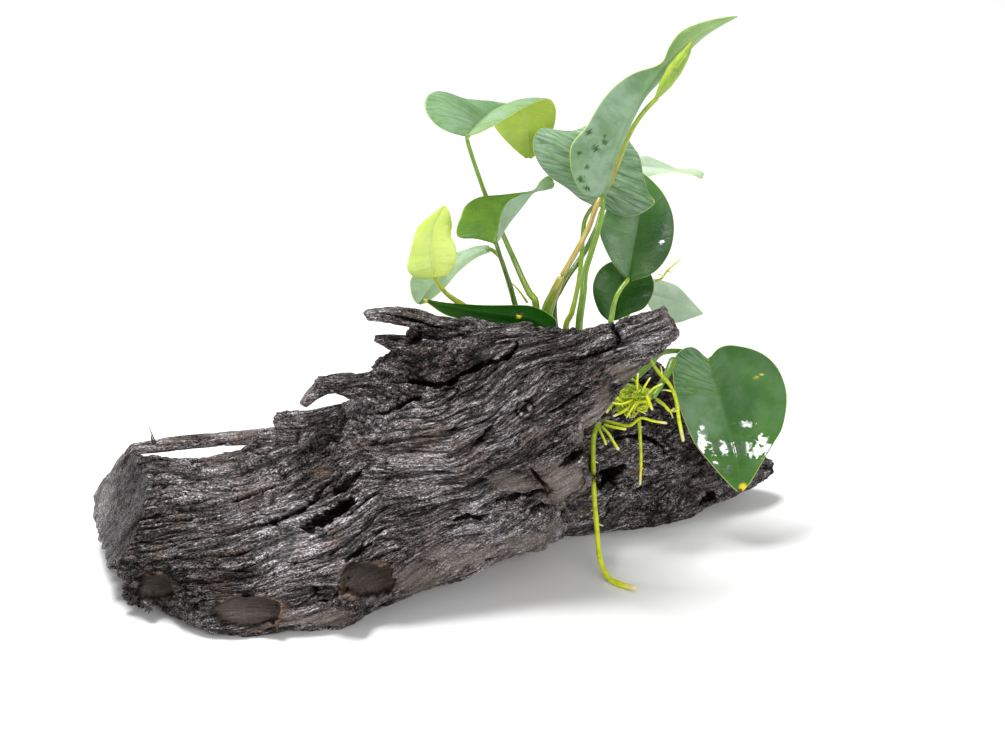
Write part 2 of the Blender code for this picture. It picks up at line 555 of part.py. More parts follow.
def blade(name, leaf, collection, finish):
    """One leaf blade: rows from the midrib out to both margins, thickened."""
    count = BLADE_ROWS + 1
    left, right = (spline([seen(*p) for p in leaf[side]], 4 * count) for side in ("left", "right"))
    middle = spline([seen(*p) for p in leaf["mid"]], 4 * count)
    mesh = bmesh.new()
    rows = []
    for r in range(count):
        share = min(r / BLADE_ROWS, 0.975)
        rib = along(middle, share ** MIDRIB_EASE)
        ahead = along(middle, min(share ** MIDRIB_EASE + 0.05, 1)) - rib
        row = []
        for c in range(-BLADE_COLUMNS, BLADE_COLUMNS + 1):
            out = abs(c) / BLADE_COLUMNS
            reach = along(left if c < 0 else right, share) - rib
            face = ahead.cross(reach).normalized() * (1 if c < 0 else -1)
            row.append(mesh.verts.new(rib + reach * out
                                      + face * reach.length * BLADE_CURVE * 4 * out * (1 - out)))
        rows.append(row)
    for first, second in zip(rows, rows[1:]):
        for a, b, c, d in zip(first, first[1:], second[1:], second):
            mesh.faces.new((a, b, c, d))
    data = bpy.data.meshes.new(name)
    mesh.to_mesh(data)
    mesh.free()
    obj = add_object(name, data, collection, finish)
    solid = obj.modifiers.new("Thickness", "SOLIDIFY")
    solid.thickness = BLADE_THICKNESS
    solid.offset = 0
    return obj


def along(line, share):
    """The point at a share of the way along a list of even points."""
    spot = share * (len(line) - 1)
    i = min(int(spot), len(line) - 2)
    return line[i].lerp(line[i + 1], spot - i)


def tube(name, points, radii, collection, finish, count=9, sides=1):
    """A stem or root: radii are spread evenly along it."""
    data = bpy.data.curves.new(name, "CURVE")
    data.dimensions = "3D"
    data.bevel_depth = MM
    data.bevel_resolution = sides
    data.use_fill_caps = True
    line = spline(points, count)
    track = data.splines.new("POLY")
    track.points.add(count - 1)
    for i, point in enumerate(line):
        track.points[i].co = (*point, 1)
        track.points[i].radius = float(np.interp(i / (count - 1), np.linspace(0, 1, len(radii)), radii))
    return add_object(name, data, collection, finish)


def stopped_short(points, gap):
    """The path with its first point moved in by a gap along its first span."""
    first = points[0] + (points[1] - points[0]).normalized() * gap
    return [first] + points[1:]


def make_plant(parts, finishes):
    for name, leaf in LEAVES.items():
        finish = finishes["young" if name == "leaf_young" else "leaf"]
        blade(name, leaf, parts, finish)
        path = [seen(*p) for p in leaf["stalk"]] + [place(*leaf["foot"])]
        radii = STOUT_STALKS.get(name, STALK_RADII)
        tube(name.replace("leaf", "stalk"), stopped_short(path, LEAF_GAP), radii, parts,
             finishes["stalk"])
    tube("flower_bud", [seen(*p) for p in BUD_PATH], BUD_RADII, parts, finishes["young"], 9, 2)
    tube("flower_stalk", [seen(*p) for p in PEDUNCLE_PATH], [0.9, 1.0, 1.1], parts, finishes["stalk"], 12)
    tube("flower_sheath", [seen(*p) for p in SHEATH_PATH] + [place(*SHEATH_FOOT)], SHEATH_RADII, parts,
         finishes["stalk"], 8, 2)
    tube("young_shoot", [seen(*p) for p in SHOOT_PATH], SHOOT_RADII, parts, finishes["stalk"], 7)
    tube("rhizome", [place(*p) for p in RHIZOME_PATH],
         RHIZOME_RADII, parts, finishes["stalk"], 12, 3)
    for name, (start, end, path) in ROOTS.items():
        tube(name, [seen(*p) for p in path], [start, end], parts, finishes["root"],
             12 if name == "root_long" else 7, 1 if name == "root_long" else 0)
    tangle(parts, finishes["root"])


def tangle(collection, finish):
    """The ball of short roots under the end of the rhizome, as one lump."""
    mesh = bmesh.new()
    bmesh.ops.create_icosphere(mesh, subdivisions=2, radius=0.5)
    for vertex in mesh.verts:
        lump = 1 + TANGLE_ROUGHNESS * noise.noise(vertex.co * 5)
        vertex.co = Vector([c * s * lump for c, s in zip(vertex.co, TANGLE_SIZE)]) * MM + seen(*TANGLE_CENTRE)
    data = bpy.data.meshes.new("root_tangle")
    mesh.to_mesh(data)
    mesh.free()
    add_object("root_tangle", data, collection, finish)


def main():
    clear_scene()
    parts = bpy.data.collections.new("anubias_on_driftwood")
    workshop = bpy.data.collections.new("cutters")
    for collection in (parts, workshop):
        bpy.context.scene.collection.children.link(collection)
    workshop.hide_render = True
    bark = material("driftwood", (0.055, 0.045, 0.04), 0.75)
    finishes = {
        "leaf": material("leaf", (0.02, 0.11, 0.03), 0.35),
        "young": material("young_leaf", (0.35, 0.5, 0.05), 0.4),
        "stalk": material("stalk", (0.09, 0.22, 0.03), 0.45),
        "root": material("root", (0.4, 0.5, 0.05), 0.5),
    }
    make_wood(parts, workshop, bark)
    make_plant(parts, finishes)
    for obj in parts.objects:
        obj.location += FRAME_SHIFT


main()
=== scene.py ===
"""The looks of the anubias on driftwood: weathered wet wood, glossy leaves, stalks, a flower bud and roots.

Lengths are in metres in the row frame. Places on the plant are read off the front view with `seen`: column
and row in a frame of 1005 by 754 pixels, and the depth Y in millimetres, as in the CAD.
"""

import math

import bmesh
import bpy
import numpy as np
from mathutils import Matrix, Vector
from mathutils.bvhtree import BVHTree


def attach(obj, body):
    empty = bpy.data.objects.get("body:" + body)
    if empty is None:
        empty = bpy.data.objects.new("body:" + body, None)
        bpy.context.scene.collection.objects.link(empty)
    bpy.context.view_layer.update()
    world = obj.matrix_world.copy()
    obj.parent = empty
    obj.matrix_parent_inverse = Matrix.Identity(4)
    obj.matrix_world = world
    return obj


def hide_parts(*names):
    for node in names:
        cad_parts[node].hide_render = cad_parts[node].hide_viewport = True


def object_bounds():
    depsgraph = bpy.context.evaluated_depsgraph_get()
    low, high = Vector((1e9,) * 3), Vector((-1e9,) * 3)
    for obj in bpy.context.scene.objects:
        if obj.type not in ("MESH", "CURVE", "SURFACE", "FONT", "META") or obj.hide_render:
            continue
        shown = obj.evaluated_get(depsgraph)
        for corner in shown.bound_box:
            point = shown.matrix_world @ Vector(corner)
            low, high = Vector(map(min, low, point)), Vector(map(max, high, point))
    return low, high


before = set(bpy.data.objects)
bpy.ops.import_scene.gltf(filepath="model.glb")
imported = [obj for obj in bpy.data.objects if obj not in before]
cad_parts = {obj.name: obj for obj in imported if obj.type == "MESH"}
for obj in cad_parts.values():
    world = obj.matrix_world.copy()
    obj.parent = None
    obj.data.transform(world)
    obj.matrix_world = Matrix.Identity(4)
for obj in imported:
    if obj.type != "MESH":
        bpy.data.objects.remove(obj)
cad_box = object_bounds()

MM = 0.001

# The front view, as in the CAD
PIXEL = 0.38 * MM
VIEW_CENTRE = (502.5, 377.0)
VIEW_SIZE = (1005, 754)
VIEW_TILT = math.radians(24)
FORWARD = (0, math.cos(VIEW_TILT), -math.sin(VIEW_TILT))
UPWARD = (0, math.sin(VIEW_TILT), math.cos(VIEW_TILT))
VIEW_DISTANCE = 1200 * MM
VIEW_TARGET = Vector((24, -11, 80.6)) * MM
FRAME_SHIFT = Vector((0.5, -1.2, 0)) * MM
SENSOR = 36.0
PIXEL_MM = PIXEL / MM
# Room left inside the CAD model's box, and between the long root and the wood behind it
EDGE_ROOM = 0.05 * MM
ROOT_ROOM = 1.3 * MM

# The skin of the wood: its voxels, the triangles that all of it is thinned to, and the most for one piece
WOOD_VOXEL = 0.52 * MM
WOOD_TRIANGLES = 380000
PIECE_TRIANGLES = 194000
SAW_POINT = Vector((-121, -20, 30)) * MM
SAW_NORMAL = Vector((-0.83, -0.21, 0.52))
HORN_SPLIT_POINT = Vector((52, -28, 82)) * MM
HORN_SPLIT_NORMAL = Vector((0.85, 0, 0.53))
REAR_SPLIT_POINT = Vector((60, 12, 30)) * MM
REAR_SPLIT_NORMAL = Vector((0.735, 0.678, 0))
RHIZOME_CLEARANCE = 5.6 * MM
RHIZOME_PATH = [(26, 8, 71), (45, 8, 69), (62, 8, 67), (74, 7, 66), (80, 7, 65)]

# Sections of the trunk at X, in millimetres. Each goes round as (Y, Z): back foot, front foot, toe,
# low face, high face, front of the top, back of the top, high back, low back.
TRUNK_SECTIONS = {
    -142: [(11, 18), (-8, 21), (-24, 27), (-36, 33), (-40, 39), (-31, 48), (-6, 48), (12, 40), (17, 27)],
    -108: [(12, -1), (-43, -1), (-51, 7), (-54, 21), (-43, 34), (-27, 44), (-2, 42), (14, 35), (18, 16)],
    -85: [(14, -1), (-60, -1), (-70, 7), (-66, 19), (-45, 35), (-26, 41), (-2, 41), (15, 35), (20, 17)],
    -60: [(14, -1), (-60, -1), (-69, 8), (-65, 22), (-45, 40), (-27, 48), (-3, 50), (18, 43), (24, 18)],
    -35: [(18, 2), (-51, -1), (-64, 6), (-61, 24), (-46, 47), (-27, 63), (-5, 66), (18, 54), (27, 22)],
    -12: [(26, 5), (-38, 4), (-52, 10), (-56, 30), (-46, 58), (-29, 83), (-10, 89), (12, 64), (32, 28)],
    12: [(32, 5), (-26, 7), (-39, 13), (-49, 34), (-45, 61), (-30, 94), (-16, 101), (4, 66), (36, 30)],
    38: [(36, 6), (-11, 9), (-23, 13), (-36, 35), (-42, 61), (-35, 99), (-22, 105), (-2, 66), (24, 36)],
    54: [(30, 10), (-6, 12), (-15, 16), (-22, 38), (-35, 60), (-35, 98), (-24, 104), (-9, 68), (10, 42)],
}
REAR_SECTIONS = {
    -40: [(16, 8), (0, 10), (-4, 20), (2, 34), (10, 38), (18, 32), (22, 18)],
    -10: [(46, 3), (10, 4), (4, 26), (8, 48), (28, 54), (46, 44), (54, 22)],
    25: [(58, -1), (14, -1), (6, 24), (10, 48), (34, 60), (58, 50), (66, 24)],
    62: [(68, -1), (17, -1), (12, 22), (17, 46), (42, 66), (66, 52), (72, 24)],
    88: [(70, -1), (26, -1), (23, 22), (27, 42), (42, 62), (64, 44), (71, 20)],
    108: [(64, 3), (36, 0), (33, 14), (36, 27), (46, 37), (60, 29), (65, 14)],
    126: [(58, 11), (43, 8), (41, 13), (43, 18), (48, 21), (56, 18), (58, 14)],
    134: [(53, 14), (48, 12), (47, 14), (48, 16), (50, 17), (52, 16), (53, 15)],
}

# Limbs and splinters of the wood: how square they are, the path in the front view or in mm, and half depths
# and half heights along it in mm
SEEN_LIMBS = {
    "horn": (0.25, [(548, 394, -22), (577, 378, -25), (601, 362, -28), (622, 349, -30), (645, 335, -31),
                    (661, 326, -31), (672, 320, -31)],
             [(11, 18), (13, 18), (12.5, 13.5), (12, 11.3), (10, 9.6), (9, 8.2), (7, 6)]),
    "splinter": (0.3, [(129, 452, -18), (150, 448, -17), (171, 445, -17), (210, 440, -16), (246, 438, -16),
                       (300, 436, -18)],
                 [(2.2, 1.5), (2.8, 2.1), (3.2, 2.5), (3.6, 2.5), (4.4, 2.8), (5, 4)]),
    "flake": (0.6, [(276, 420, -16), (300, 421, -16), (340, 420, -18)], [(4, 2.2), (6, 3.2), (7, 5)]),
    "hook": (0.5, [(303, 405, -20), (313, 394, -19), (326, 385, -18)], [(3, 1.6), (3.6, 2.6), (4, 3)]),
    "plate": (0.5, [(316, 382, -18), (335, 383, -18), (360, 386, -18), (390, 391, -20), (420, 400, -24)],
              [(2.6, 2.0), (4, 4.2), (6, 6.5), (8, 9), (10, 10)]),
    "shelf": (0.5, [(370, 370, -18), (388, 366, -18), (412, 370, -19)], [(3, 1.6), (5, 6), (7, 9)]),
    "beak": (0.4, [(374, 338, -17), (392, 343, -17), (415, 352, -18), (445, 362, -20), (470, 370, -24)],
             [(1.8, 1.0), (4, 4), (7, 9), (9, 13), (10, 14)]),
    "prong": (0.4, [(366, 315, -16), (385, 315, -16), (410, 318, -15), (440, 326, -16), (480, 336, -19),
                    (530, 345, -22)],
              [(2.6, 1.8), (4, 3.2), (5.5, 3.2), (7, 4), (8, 5), (9, 8)]),
    "web": (0.3, [(407, 337, -12), (430, 343, -13), (460, 352, -16)], [(2, 4.5), (3, 7), (5, 9)]),
}
PLACED_LIMBS = {
    "stub": (0.1, [(-30, -40, 22), (-34, -58, 14), (-36, -66, 9)], [(10.5, 8.5), (10, 8), (9.5, 7.5)]),
    "low_stub": (0.2, [(-66, -44, 14), (-68, -64, 7), (-69, -69, 6)], [(9, 6), (12, 5.5), (11, 5)]),
    "side_stub": (0.3, [(-100, -35, 14), (-110, -48, 10), (-114, -54, 9)], [(9, 7), (8, 6.5), (7, 5.5)]),
    "step": (0.7, [(20, -22, 34), (40, -14, 38), (57, -8, 42)], [(9, 10), (8, 9), (6, 7)]),
}

# The direction of the grain over the front view: (column, row, degrees above the horizontal)
GRAIN = [
    (110, 500, 0), (150, 478, 0), (200, 460, -2), (245, 468, 2), (285, 462, 8), (150, 520, 4),
    (185, 528, 14), (215, 505, 16), (250, 510, 24), (285, 500, 28), (315, 478, 28), (350, 490, 36),
    (300, 525, 38), (262, 540, 36), (225, 552, 28), (145, 568, 24), (185, 566, 30), (160, 600, -20),
    (205, 600, -10), (245, 602, 0), (300, 592, 8), (330, 562, 20), (355, 540, 34), (200, 437, 6),
    (290, 418, 0), (340, 385, -6), (360, 425, -8), (382, 402, 4), (405, 385, -5), (420, 402, 14),
    (450, 385, 25), (390, 345, 14), (430, 350, 10), (400, 314, -4), (445, 330, -12), (480, 345, 14),
    (500, 330, 0), (540, 342, -14), (500, 402, 52), (508, 372, 60), (532, 358, 42), (562, 348, 22),
    (600, 345, 20), (645, 325, 26), (620, 368, 36), (582, 402, 45), (550, 432, 46), (520, 442, 50),
    (482, 450, 36), (468, 430, 30), (440, 442, 14), (420, 470, 0), (460, 482, 20), (500, 470, 34),
    (400, 520, 20), (440, 510, 24), (362, 520, 30), (382, 562, 30), (430, 545, 20), (480, 530, 12),
    (520, 500, 4), (520, 542, 12), (562, 520, 6), (620, 500, 12), (640, 450, -10), (615, 440, 22),
    (680, 470, 4), (700, 500, 12), (740, 482, 24), (765, 470, 20),
]
# The grid for the grain: its step and its columns and rows in pixels, and how much even spacing counts beside
# the direction, within a cell and from point to point
GRAIN_STEP = 12
GRAIN_AREA = (80, 800, 280, 660)
GRAIN_PULL = 0.12
GRAIN_EVEN = 0.000025
# Waves of the relief: length along the grain, width across it and depth inward in mm, and a shift
WAVES = {
    "broad": (60, 8, 12, 11.3), "middle": (24, 3.4, 5, 5.7), "valleys": (18, 2.4, 4, 15.1),
    "creases": (9, 1.25, 2.2, 21.9), "threads": (5, 0.8, 1.3, 43.1), "fissures": (24, 3.4, 6, 77.7),
    "fissured": (16, 8, 9, 61.5), "splits": (40, 6.5, 9, 91.2), "split": (26, 14, 12, 31.5),
    "crinkle": (3.4, 2.0, 2.5, 3.3),
}

# Carved details in the front view: cracks and gouges as (width, depth, nearest Y, furthest Y, path), in mm
CRACKS = [
    (1.0, 2.4, -60, -5, [(363, 413), (385, 411), (402, 403), (422, 396)]),
    (1.3, 4.0, -60, -5, [(380, 380), (410, 380), (436, 385), (450, 381), (466, 372), (484, 364), (504, 357),
                         (512, 350), (517, 342), (513, 338)]),
    (0.9, 2.0, -60, -5, [(370, 313), (387, 314), (412, 320), (440, 327), (459, 328)]),
    (1.2, 2.6, -60, -5, [(256, 524), (278, 519), (299, 509), (318, 494), (333, 477)]),
    (2.6, 5.0, -70, -5, [(299, 527), (318, 521), (338, 510), (354, 498)]),
    (1.6, 2.2, -60, -5, [(330, 496), (345, 485), (362, 470)]),
    (1.2, 2.4, -70, -5, [(344, 560), (358, 552), (373, 543)]),
    (0.8, 1.8, -60, 5, [(216, 500), (238, 498), (262, 490), (280, 482)]),
    (0.8, 1.6, -60, 5, [(134, 520), (150, 517), (166, 512)]),
    (0.8, 1.6, -60, 5, [(142, 484), (160, 483), (186, 484)]),
    (0.9, 1.8, -60, -5, [(472, 446), (484, 434), (498, 418)]),
    (1.0, 1.8, -60, -5, [(545, 415), (560, 408), (578, 396), (590, 388)]),
    (0.9, 2.0, -60, 5, [(618, 318), (612, 327), (618, 338), (614, 352)]),
    (0.8, 1.6, -60, 5, [(560, 362), (585, 356), (604, 350), (632, 340)]),
    (1.0, 2.2, -60, 5, [(530, 468), (542, 482), (553, 494), (558, 504)]),
]
HOLLOWS = [
    (1.3, 5.0, -60, -2, [(558, 468), (570, 459), (586, 448)]),
    (0.9, 3.5, -60, -2, [(496, 503), (520, 498), (546, 493), (553, 503)]),
    (0.6, 2.5, -60, -2, [(520, 512), (545, 508), (560, 505)]),
    (0.9, 4.0, -60, -2, [(454, 523), (466, 517), (480, 519), (492, 515)]),
    (1.9, 6.0, 4, 60, [(592, 490), (606, 480), (627, 466)]),
    (1.5, 5.0, 4, 70, [(703, 508), (709, 500), (716, 493)]),
    (0.8, 2.2, 4, 60, [(612, 440), (640, 436), (662, 446), (664, 458)]),
    (0.5, 1.4, 4, 60, [(630, 492), (650, 486), (676, 474)]),
    (1.8, 1.6, -60, 0, [(404, 344), (414, 340), (425, 338)]),
    (0.8, 3.0, -80, 0, [(228, 604), (246, 596), (258, 600)]),
    (0.8, 3.5, -80, 0, [(322, 602), (340, 600), (356, 607)]),
    (0.7, 3.0, -80, 0, [(344, 563), (354, 556), (366, 548)]),
    (0.6, 2.0, -80, 0, [(484, 562), (500, 557), (512, 551)]),
]
KNOT = (525, 410)

# Smooth, brown, broken or sawn places in the front view: (column, row, width, height, Y limits)
BARE_PATCHES = [
    (368, 582, 30, 20, -90, 0), (247, 612, 38, 16, -90, 0), (152, 586, 22, 12, -90, 0),
    (470, 556, 60, 12, -90, 10), (420, 580, 30, 18, -90, 10), (535, 545, 40, 12, -90, 10),
    (560, 482, 26, 24, -90, 2), (515, 486, 24, 10, -90, 2), (586, 435, 10, 26, -90, 0),
    (604, 405, 12, 24, -90, 0), (630, 375, 18, 14, -90, 0), (560, 528, 16, 14, -90, 8),
    (666, 314, 10, 8, -90, 0), (300, 620, 70, 9, -90, 0),
]
# Flat faces where side shoots were sawn off or a block broke away:
# (column, row, width, height, strength of the brown rim, Y limits)
FLAT_FACES = [
    (366, 581, 29, 18, 1.0, -90, -12), (249, 612, 35, 15, 0.5, -90, -20), (154, 588, 20, 13, 0.5, -90, -20),
    (568, 485, 20, 19, 0.2, -60, 0),
]
# How much of its own lean a flat face keeps, and how flat the broken block is, the only one with a faint rim
FLAT_LEAN = 0.35
FAINT_RIM = 0.3
BLOCK_FLATNESS = 0.7
# The broken end of the trunk in front of the rear limb: (row, column)
BROKEN_END = [(430, 582), (456, 588), (478, 588), (490, 586), (503, 570), (520, 571), (533, 567), (545, 558)]
TRUNK_END_COLUMN = 583
# The thin prong at the left: columns of its root and tip, rows that it lies in, growth in pixels
PRONG_COLUMNS = (240, 159)
PRONG_ROWS = (425, 452.5)
PRONG_GROWTH = 32
PRONG_SLOPE = 0.12
# Columns and rows where the wood is pressed back behind the long root
ROOT_COLUMNS = (584, 604)
ROOT_ROWS = (428, 560)
# Where the skin of the wood is finely wrinkled: (column, row, width, height)
WRINKLED = [(450, 470, 100, 60), (350, 440, 60, 25), (560, 440, 40, 40)]
# Rows and columns of the grid of each leaf, how far it goes to the tip, how much each half arches, and how
# the rows gather toward the foot of the midrib
BLADE_ROWS = 110
BLADE_COLUMNS = 49
BLADE_END = 0.985
BLADE_CURVE = 0.08
MIDRIB_EASE = 1.25
# A direction that no tube starts along, which sets where its sides begin
TUBE_SIDE = (0.3, 0.2, 0.93)
# Radii along the stalks in mm, and the stouter stalks
STALK_RADII = [0.9, 1.1, 1.2, 1.45]
STOUT_STALKS = {
    "leaf_tall": [1.1, 1.35, 1.5, 1.7], "leaf_top_left": [0.9, 1.0, 1.4, 1.8],
    "leaf_young": [1.0, 1.4, 1.5, 1.5], "leaf_broad_back": [0.9, 0.9, 1.2, 1.5],
}
# The rhizome: radii in mm, and how many radii its leaf scars are worked into, every fifth one narrower
RHIZOME_RADII = [3.4, 4.2, 4.4, 4.2, 2.6]
RHIZOME_RINGS = 45

LEAVES = {
    "leaf_top_left": {
        "left": [(463, 136, 2), (448, 132, 0), (436, 125, 0), (427, 114, 2), (424, 104, 5), (428, 95, 9),
            (439, 91, 14), (454, 97, 22), (475, 103, 30), (490, 111, 36), (495, 128, 40), (514, 149, 40),
            (529, 161, 38)],
        "mid": [(467, 136, 2), (478, 125, 12), (492, 112, 24), (508, 105, 33), (522, 112, 39),
            (528, 136, 41), (529, 161, 38)],
        "right": [(471, 136, 2), (480, 133, 4), (492, 127, 9), (510, 116, 17), (527, 106, 26),
            (541, 100, 33), (551, 100, 38), (556, 111, 41), (553, 130, 42), (543, 148, 41), (529, 161, 38)],
        "stalk": [(467, 139, 4), (470, 150, 6), (478, 174, 12), (486, 196, 18), (496, 219, 20),
            (504, 237, 18), (516, 264, 14), (523, 280, 12), (530, 294, 10), (536, 306, 9)],
        "foot": (37, 10.5, 76),
    },
    "leaf_tall": {
        "left": [(599, 197, 11), (584, 194, 8), (574, 179, 6), (570, 161, 5), (572, 144, 6), (586, 127, 8),
            (601, 102, 11), (616, 85, 13), (634, 73, 16), (661, 63, 21), (670, 45, 24), (684, 29, 26),
            (713, 19, 28), (741, 15, 30)],
        "mid": [(602, 196, 12), (607, 180, 12), (610, 165, 13), (620, 137, 15), (634, 108, 18),
            (646, 89, 20), (662, 68, 23), (683, 46, 26), (710, 27, 28), (741, 15, 30)],
        "right": [(605, 196, 13), (611, 181, 14), (614, 165, 15), (624, 139, 17), (638, 110, 20),
            (649, 92, 23), (664, 77, 27), (682, 58, 29), (698, 43, 30), (713, 31, 30), (726, 23, 30),
            (741, 15, 30)],
        "stalk": [(603, 199, 11), (602, 214, 10), (598, 231, 9), (591, 253, 8), (585, 273, 7),
            (583, 295, 5), (579, 328, 4)],
        "foot": (54, 6.5, 74),
    },
    "leaf_broad_back": {
        "left": [(594, 206, 24), (580, 199, 24), (568, 189, 24), (548, 175, 23), (536, 158, 23),
            (533, 141, 25), (540, 129, 28), (553, 129, 31), (572, 131, 34), (590, 124, 36), (606, 116, 37)],
        "mid": [(597, 205, 24), (598, 180, 27), (600, 155, 30), (603, 134, 33), (606, 116, 37)],
        "right": [(601, 207, 24), (609, 211, 23), (623, 216, 22), (637, 215, 21), (650, 208, 21),
            (655, 201, 22), (648, 191, 25), (643, 175, 28), (640, 158, 31), (634, 148, 33), (622, 132, 35),
            (606, 116, 37)],
        "stalk": [(591, 209, 26), (585, 220, 25), (583, 232, 22), (582, 250, 19), (581, 263, 16),
            (578, 285, 12), (572, 312, 9), (566, 328, 8)],
        "foot": (50, 9, 75),
    },
    "leaf_right_middle": {
        "left": [(624, 277, 24), (612, 262, 24), (603, 244, 27), (600, 232, 29), (604, 216, 33),
            (612, 196, 37), (622, 178, 40), (633, 166, 42)],
        "mid": [(628, 279, 24), (632, 255, 28), (637, 230, 33), (640, 205, 37), (638, 182, 40),
            (633, 166, 42)],
        "right": [(632, 281, 24), (648, 276, 24), (660, 267, 26), (670, 251, 28), (674, 231, 31),
            (672, 212, 34), (664, 194, 37), (653, 181, 40), (643, 173, 41), (633, 166, 42)],
        "stalk": [(627, 281, 21), (620, 290, 18), (615, 301, 15), (612, 315, 13), (610, 329, 10)],
        "foot": (64, 8, 73),
    },
    "leaf_round_low": {
        "left": [(609, 321, 26), (600, 313, 26), (594, 298, 27), (593, 284, 28), (599, 270, 31),
            (610, 262, 34), (619, 262, 36), (628, 265, 37)],
        "mid": [(612, 321, 26), (616, 305, 28), (621, 285, 32), (628, 265, 37)],
        "right": [(616, 320, 26), (630, 314, 27), (644, 308, 27), (652, 296, 28), (654, 284, 31),
            (650, 273, 34), (640, 266, 36), (628, 265, 37)],
        "stalk": [(612, 324, 24), (613, 336, 20), (615, 350, 14)],
        "foot": (69, 9, 72),
    },
    "leaf_far_right": {
        "left": [(648, 291, 41), (649, 283, 43), (654, 279, 44), (664, 281, 45), (678, 287, 46),
            (689, 298, 45), (704, 314, 42)],
        "mid": [(648, 294, 40), (665, 298, 41), (682, 304, 42), (704, 314, 42)],
        "right": [(647, 297, 39), (649, 307, 37), (660, 318, 36), (675, 323, 36), (690, 319, 39),
            (704, 314, 42)],
        "stalk": [(645, 295, 41), (636, 300, 39), (626, 318, 34), (620, 335, 24)],
        "foot": (74, 9, 71),
    },
    "leaf_edge_on": {
        "left": [(631, 164, 47), (637, 158, 49), (646, 156, 51), (660, 161, 52), (678, 169, 51),
            (694, 169, 50), (703, 172, 49), (704, 177, 48)],
        "mid": [(631, 167, 46), (650, 167, 47), (672, 170, 48), (694, 172, 48), (704, 177, 48)],
        "right": [(631, 170, 45), (637, 176, 43), (646, 177, 43), (660, 174, 44), (678, 172, 45),
            (692, 175, 46), (701, 179, 47), (704, 177, 48)],
        "stalk": [(628, 169, 46), (622, 175, 47), (612, 190, 46), (602, 210, 41), (597, 226, 34),
            (588, 246, 25), (578, 262, 18), (568, 276, 14), (560, 290, 12), (554, 308, 10)],
        "foot": (46, 11, 75),
    },
    "leaf_folded": {
        "left": [(493, 243, 2), (476, 239, -1), (460, 238, -3), (456, 232, -2), (459, 220, 1),
            (465, 206, 6), (475, 199, 9), (487, 196, 12), (503, 195, 15), (518, 193, 18), (533, 190, 21),
            (540, 181, 23), (548, 176, 25), (555, 182, 26)],
        "mid": [(496, 243, 2), (498, 228, 5), (501, 214, 9), (507, 203, 13), (518, 196, 17), (533, 191, 21),
            (546, 184, 24), (555, 182, 26)],
        "right": [(499, 241, 3), (506, 229, 9), (515, 216, 14), (525, 204, 18), (535, 192, 22),
            (546, 190, 23), (553, 188, 25), (555, 182, 26)],
        "stalk": [(497, 246, 1), (503, 265, 3), (510, 285, 4), (515, 304, 4), (524, 330, 5)],
        "foot": (33, 5.5, 76),
    },
    "leaf_young": {
        "left": [(432, 278, -2), (420, 279, -3), (411, 275, -3), (407, 268, -2), (409, 257, 0),
            (413, 241, 2), (418, 227, 4), (430, 216, 5), (445, 204, 6)],
        "mid": [(435, 277, -2), (433, 262, -1), (432, 245, 1), (434, 228, 3), (440, 214, 5), (445, 204, 6)],
        "right": [(438, 278, -2), (446, 276, -3), (452, 270, -3), (456, 259, -2), (456, 247, 0),
            (451, 236, 2), (452, 226, 4), (450, 213, 5), (445, 204, 6)],
        "stalk": [(436, 280, -1), (441, 287, 0), (447, 294, 3), (455, 300, 6), (464, 306, 8),
            (482, 319, 10), (505, 340, 9)],
        "foot": (28.5, 8, 78),
    },
    "leaf_low_left": {
        "left": [(489, 245, 11), (476, 246, 13), (457, 252, 14), (440, 259, 15), (422, 269, 15),
            (411, 278, 14), (410, 288, 12), (413, 299, 10), (418, 305, 8)],
        "mid": [(488, 249, 10), (470, 256, 10), (450, 268, 10), (432, 284, 10), (418, 305, 8)],
        "right": [(490, 252, 9), (480, 256, 7), (469, 263, 6), (458, 273, 6), (447, 285, 6), (436, 296, 7),
            (426, 303, 8), (418, 305, 8)],
        "stalk": [(492, 250, 12), (500, 257, 13), (504, 267, 14), (509, 284, 14), (515, 304, 13),
            (520, 328, 12)],
        "foot": (32, 10.5, 77),
    },
    "leaf_resting": {
        "left": [(556, 327, -3), (556, 320, -2), (546, 312, 0), (532, 306, 1), (516, 305, 1), (480, 305, 0),
            (440, 302, -2), (422, 298, -4)],
        "mid": [(554, 329, -4), (530, 318, -3), (500, 314, -3), (465, 309, -3), (440, 304, -4),
            (422, 298, -4)],
        "right": [(551, 331, -5), (532, 331, -5), (515, 332, -5), (503, 329, -5), (480, 323, -5),
            (448, 316, -5), (430, 305, -5), (422, 298, -4)],
        "stalk": [(554, 333, -2), (556, 343, 0)],
        "foot": (47.5, 4, 77),
    },
    "leaf_front_right": {
        "left": [(705, 357, 25), (698, 350, 25), (690, 347, 25), (680, 351, 24), (673, 362, 22),
            (673, 379, 19), (677, 399, 17), (685, 422, 14), (695, 444, 11), (711, 464, 8), (727, 482, 6),
            (740, 494, 5)],
        "mid": [(708, 360, 24), (716, 385, 20), (724, 410, 16), (732, 440, 11), (738, 468, 7), (740, 494, 5)],
        "right": [(711, 356, 25), (719, 348, 27), (731, 345, 28), (752, 349, 28), (769, 358, 28),
            (781, 374, 26), (787, 397, 22), (783, 426, 17), (774, 443, 14), (762, 463, 10), (750, 483, 6),
            (740, 494, 5)],
        "stalk": [(706, 360, 27), (692, 354, 29), (678, 351, 28), (662, 353, 24), (650, 364, 15)],
        "foot": (76, 8, 72.5),
    },
}

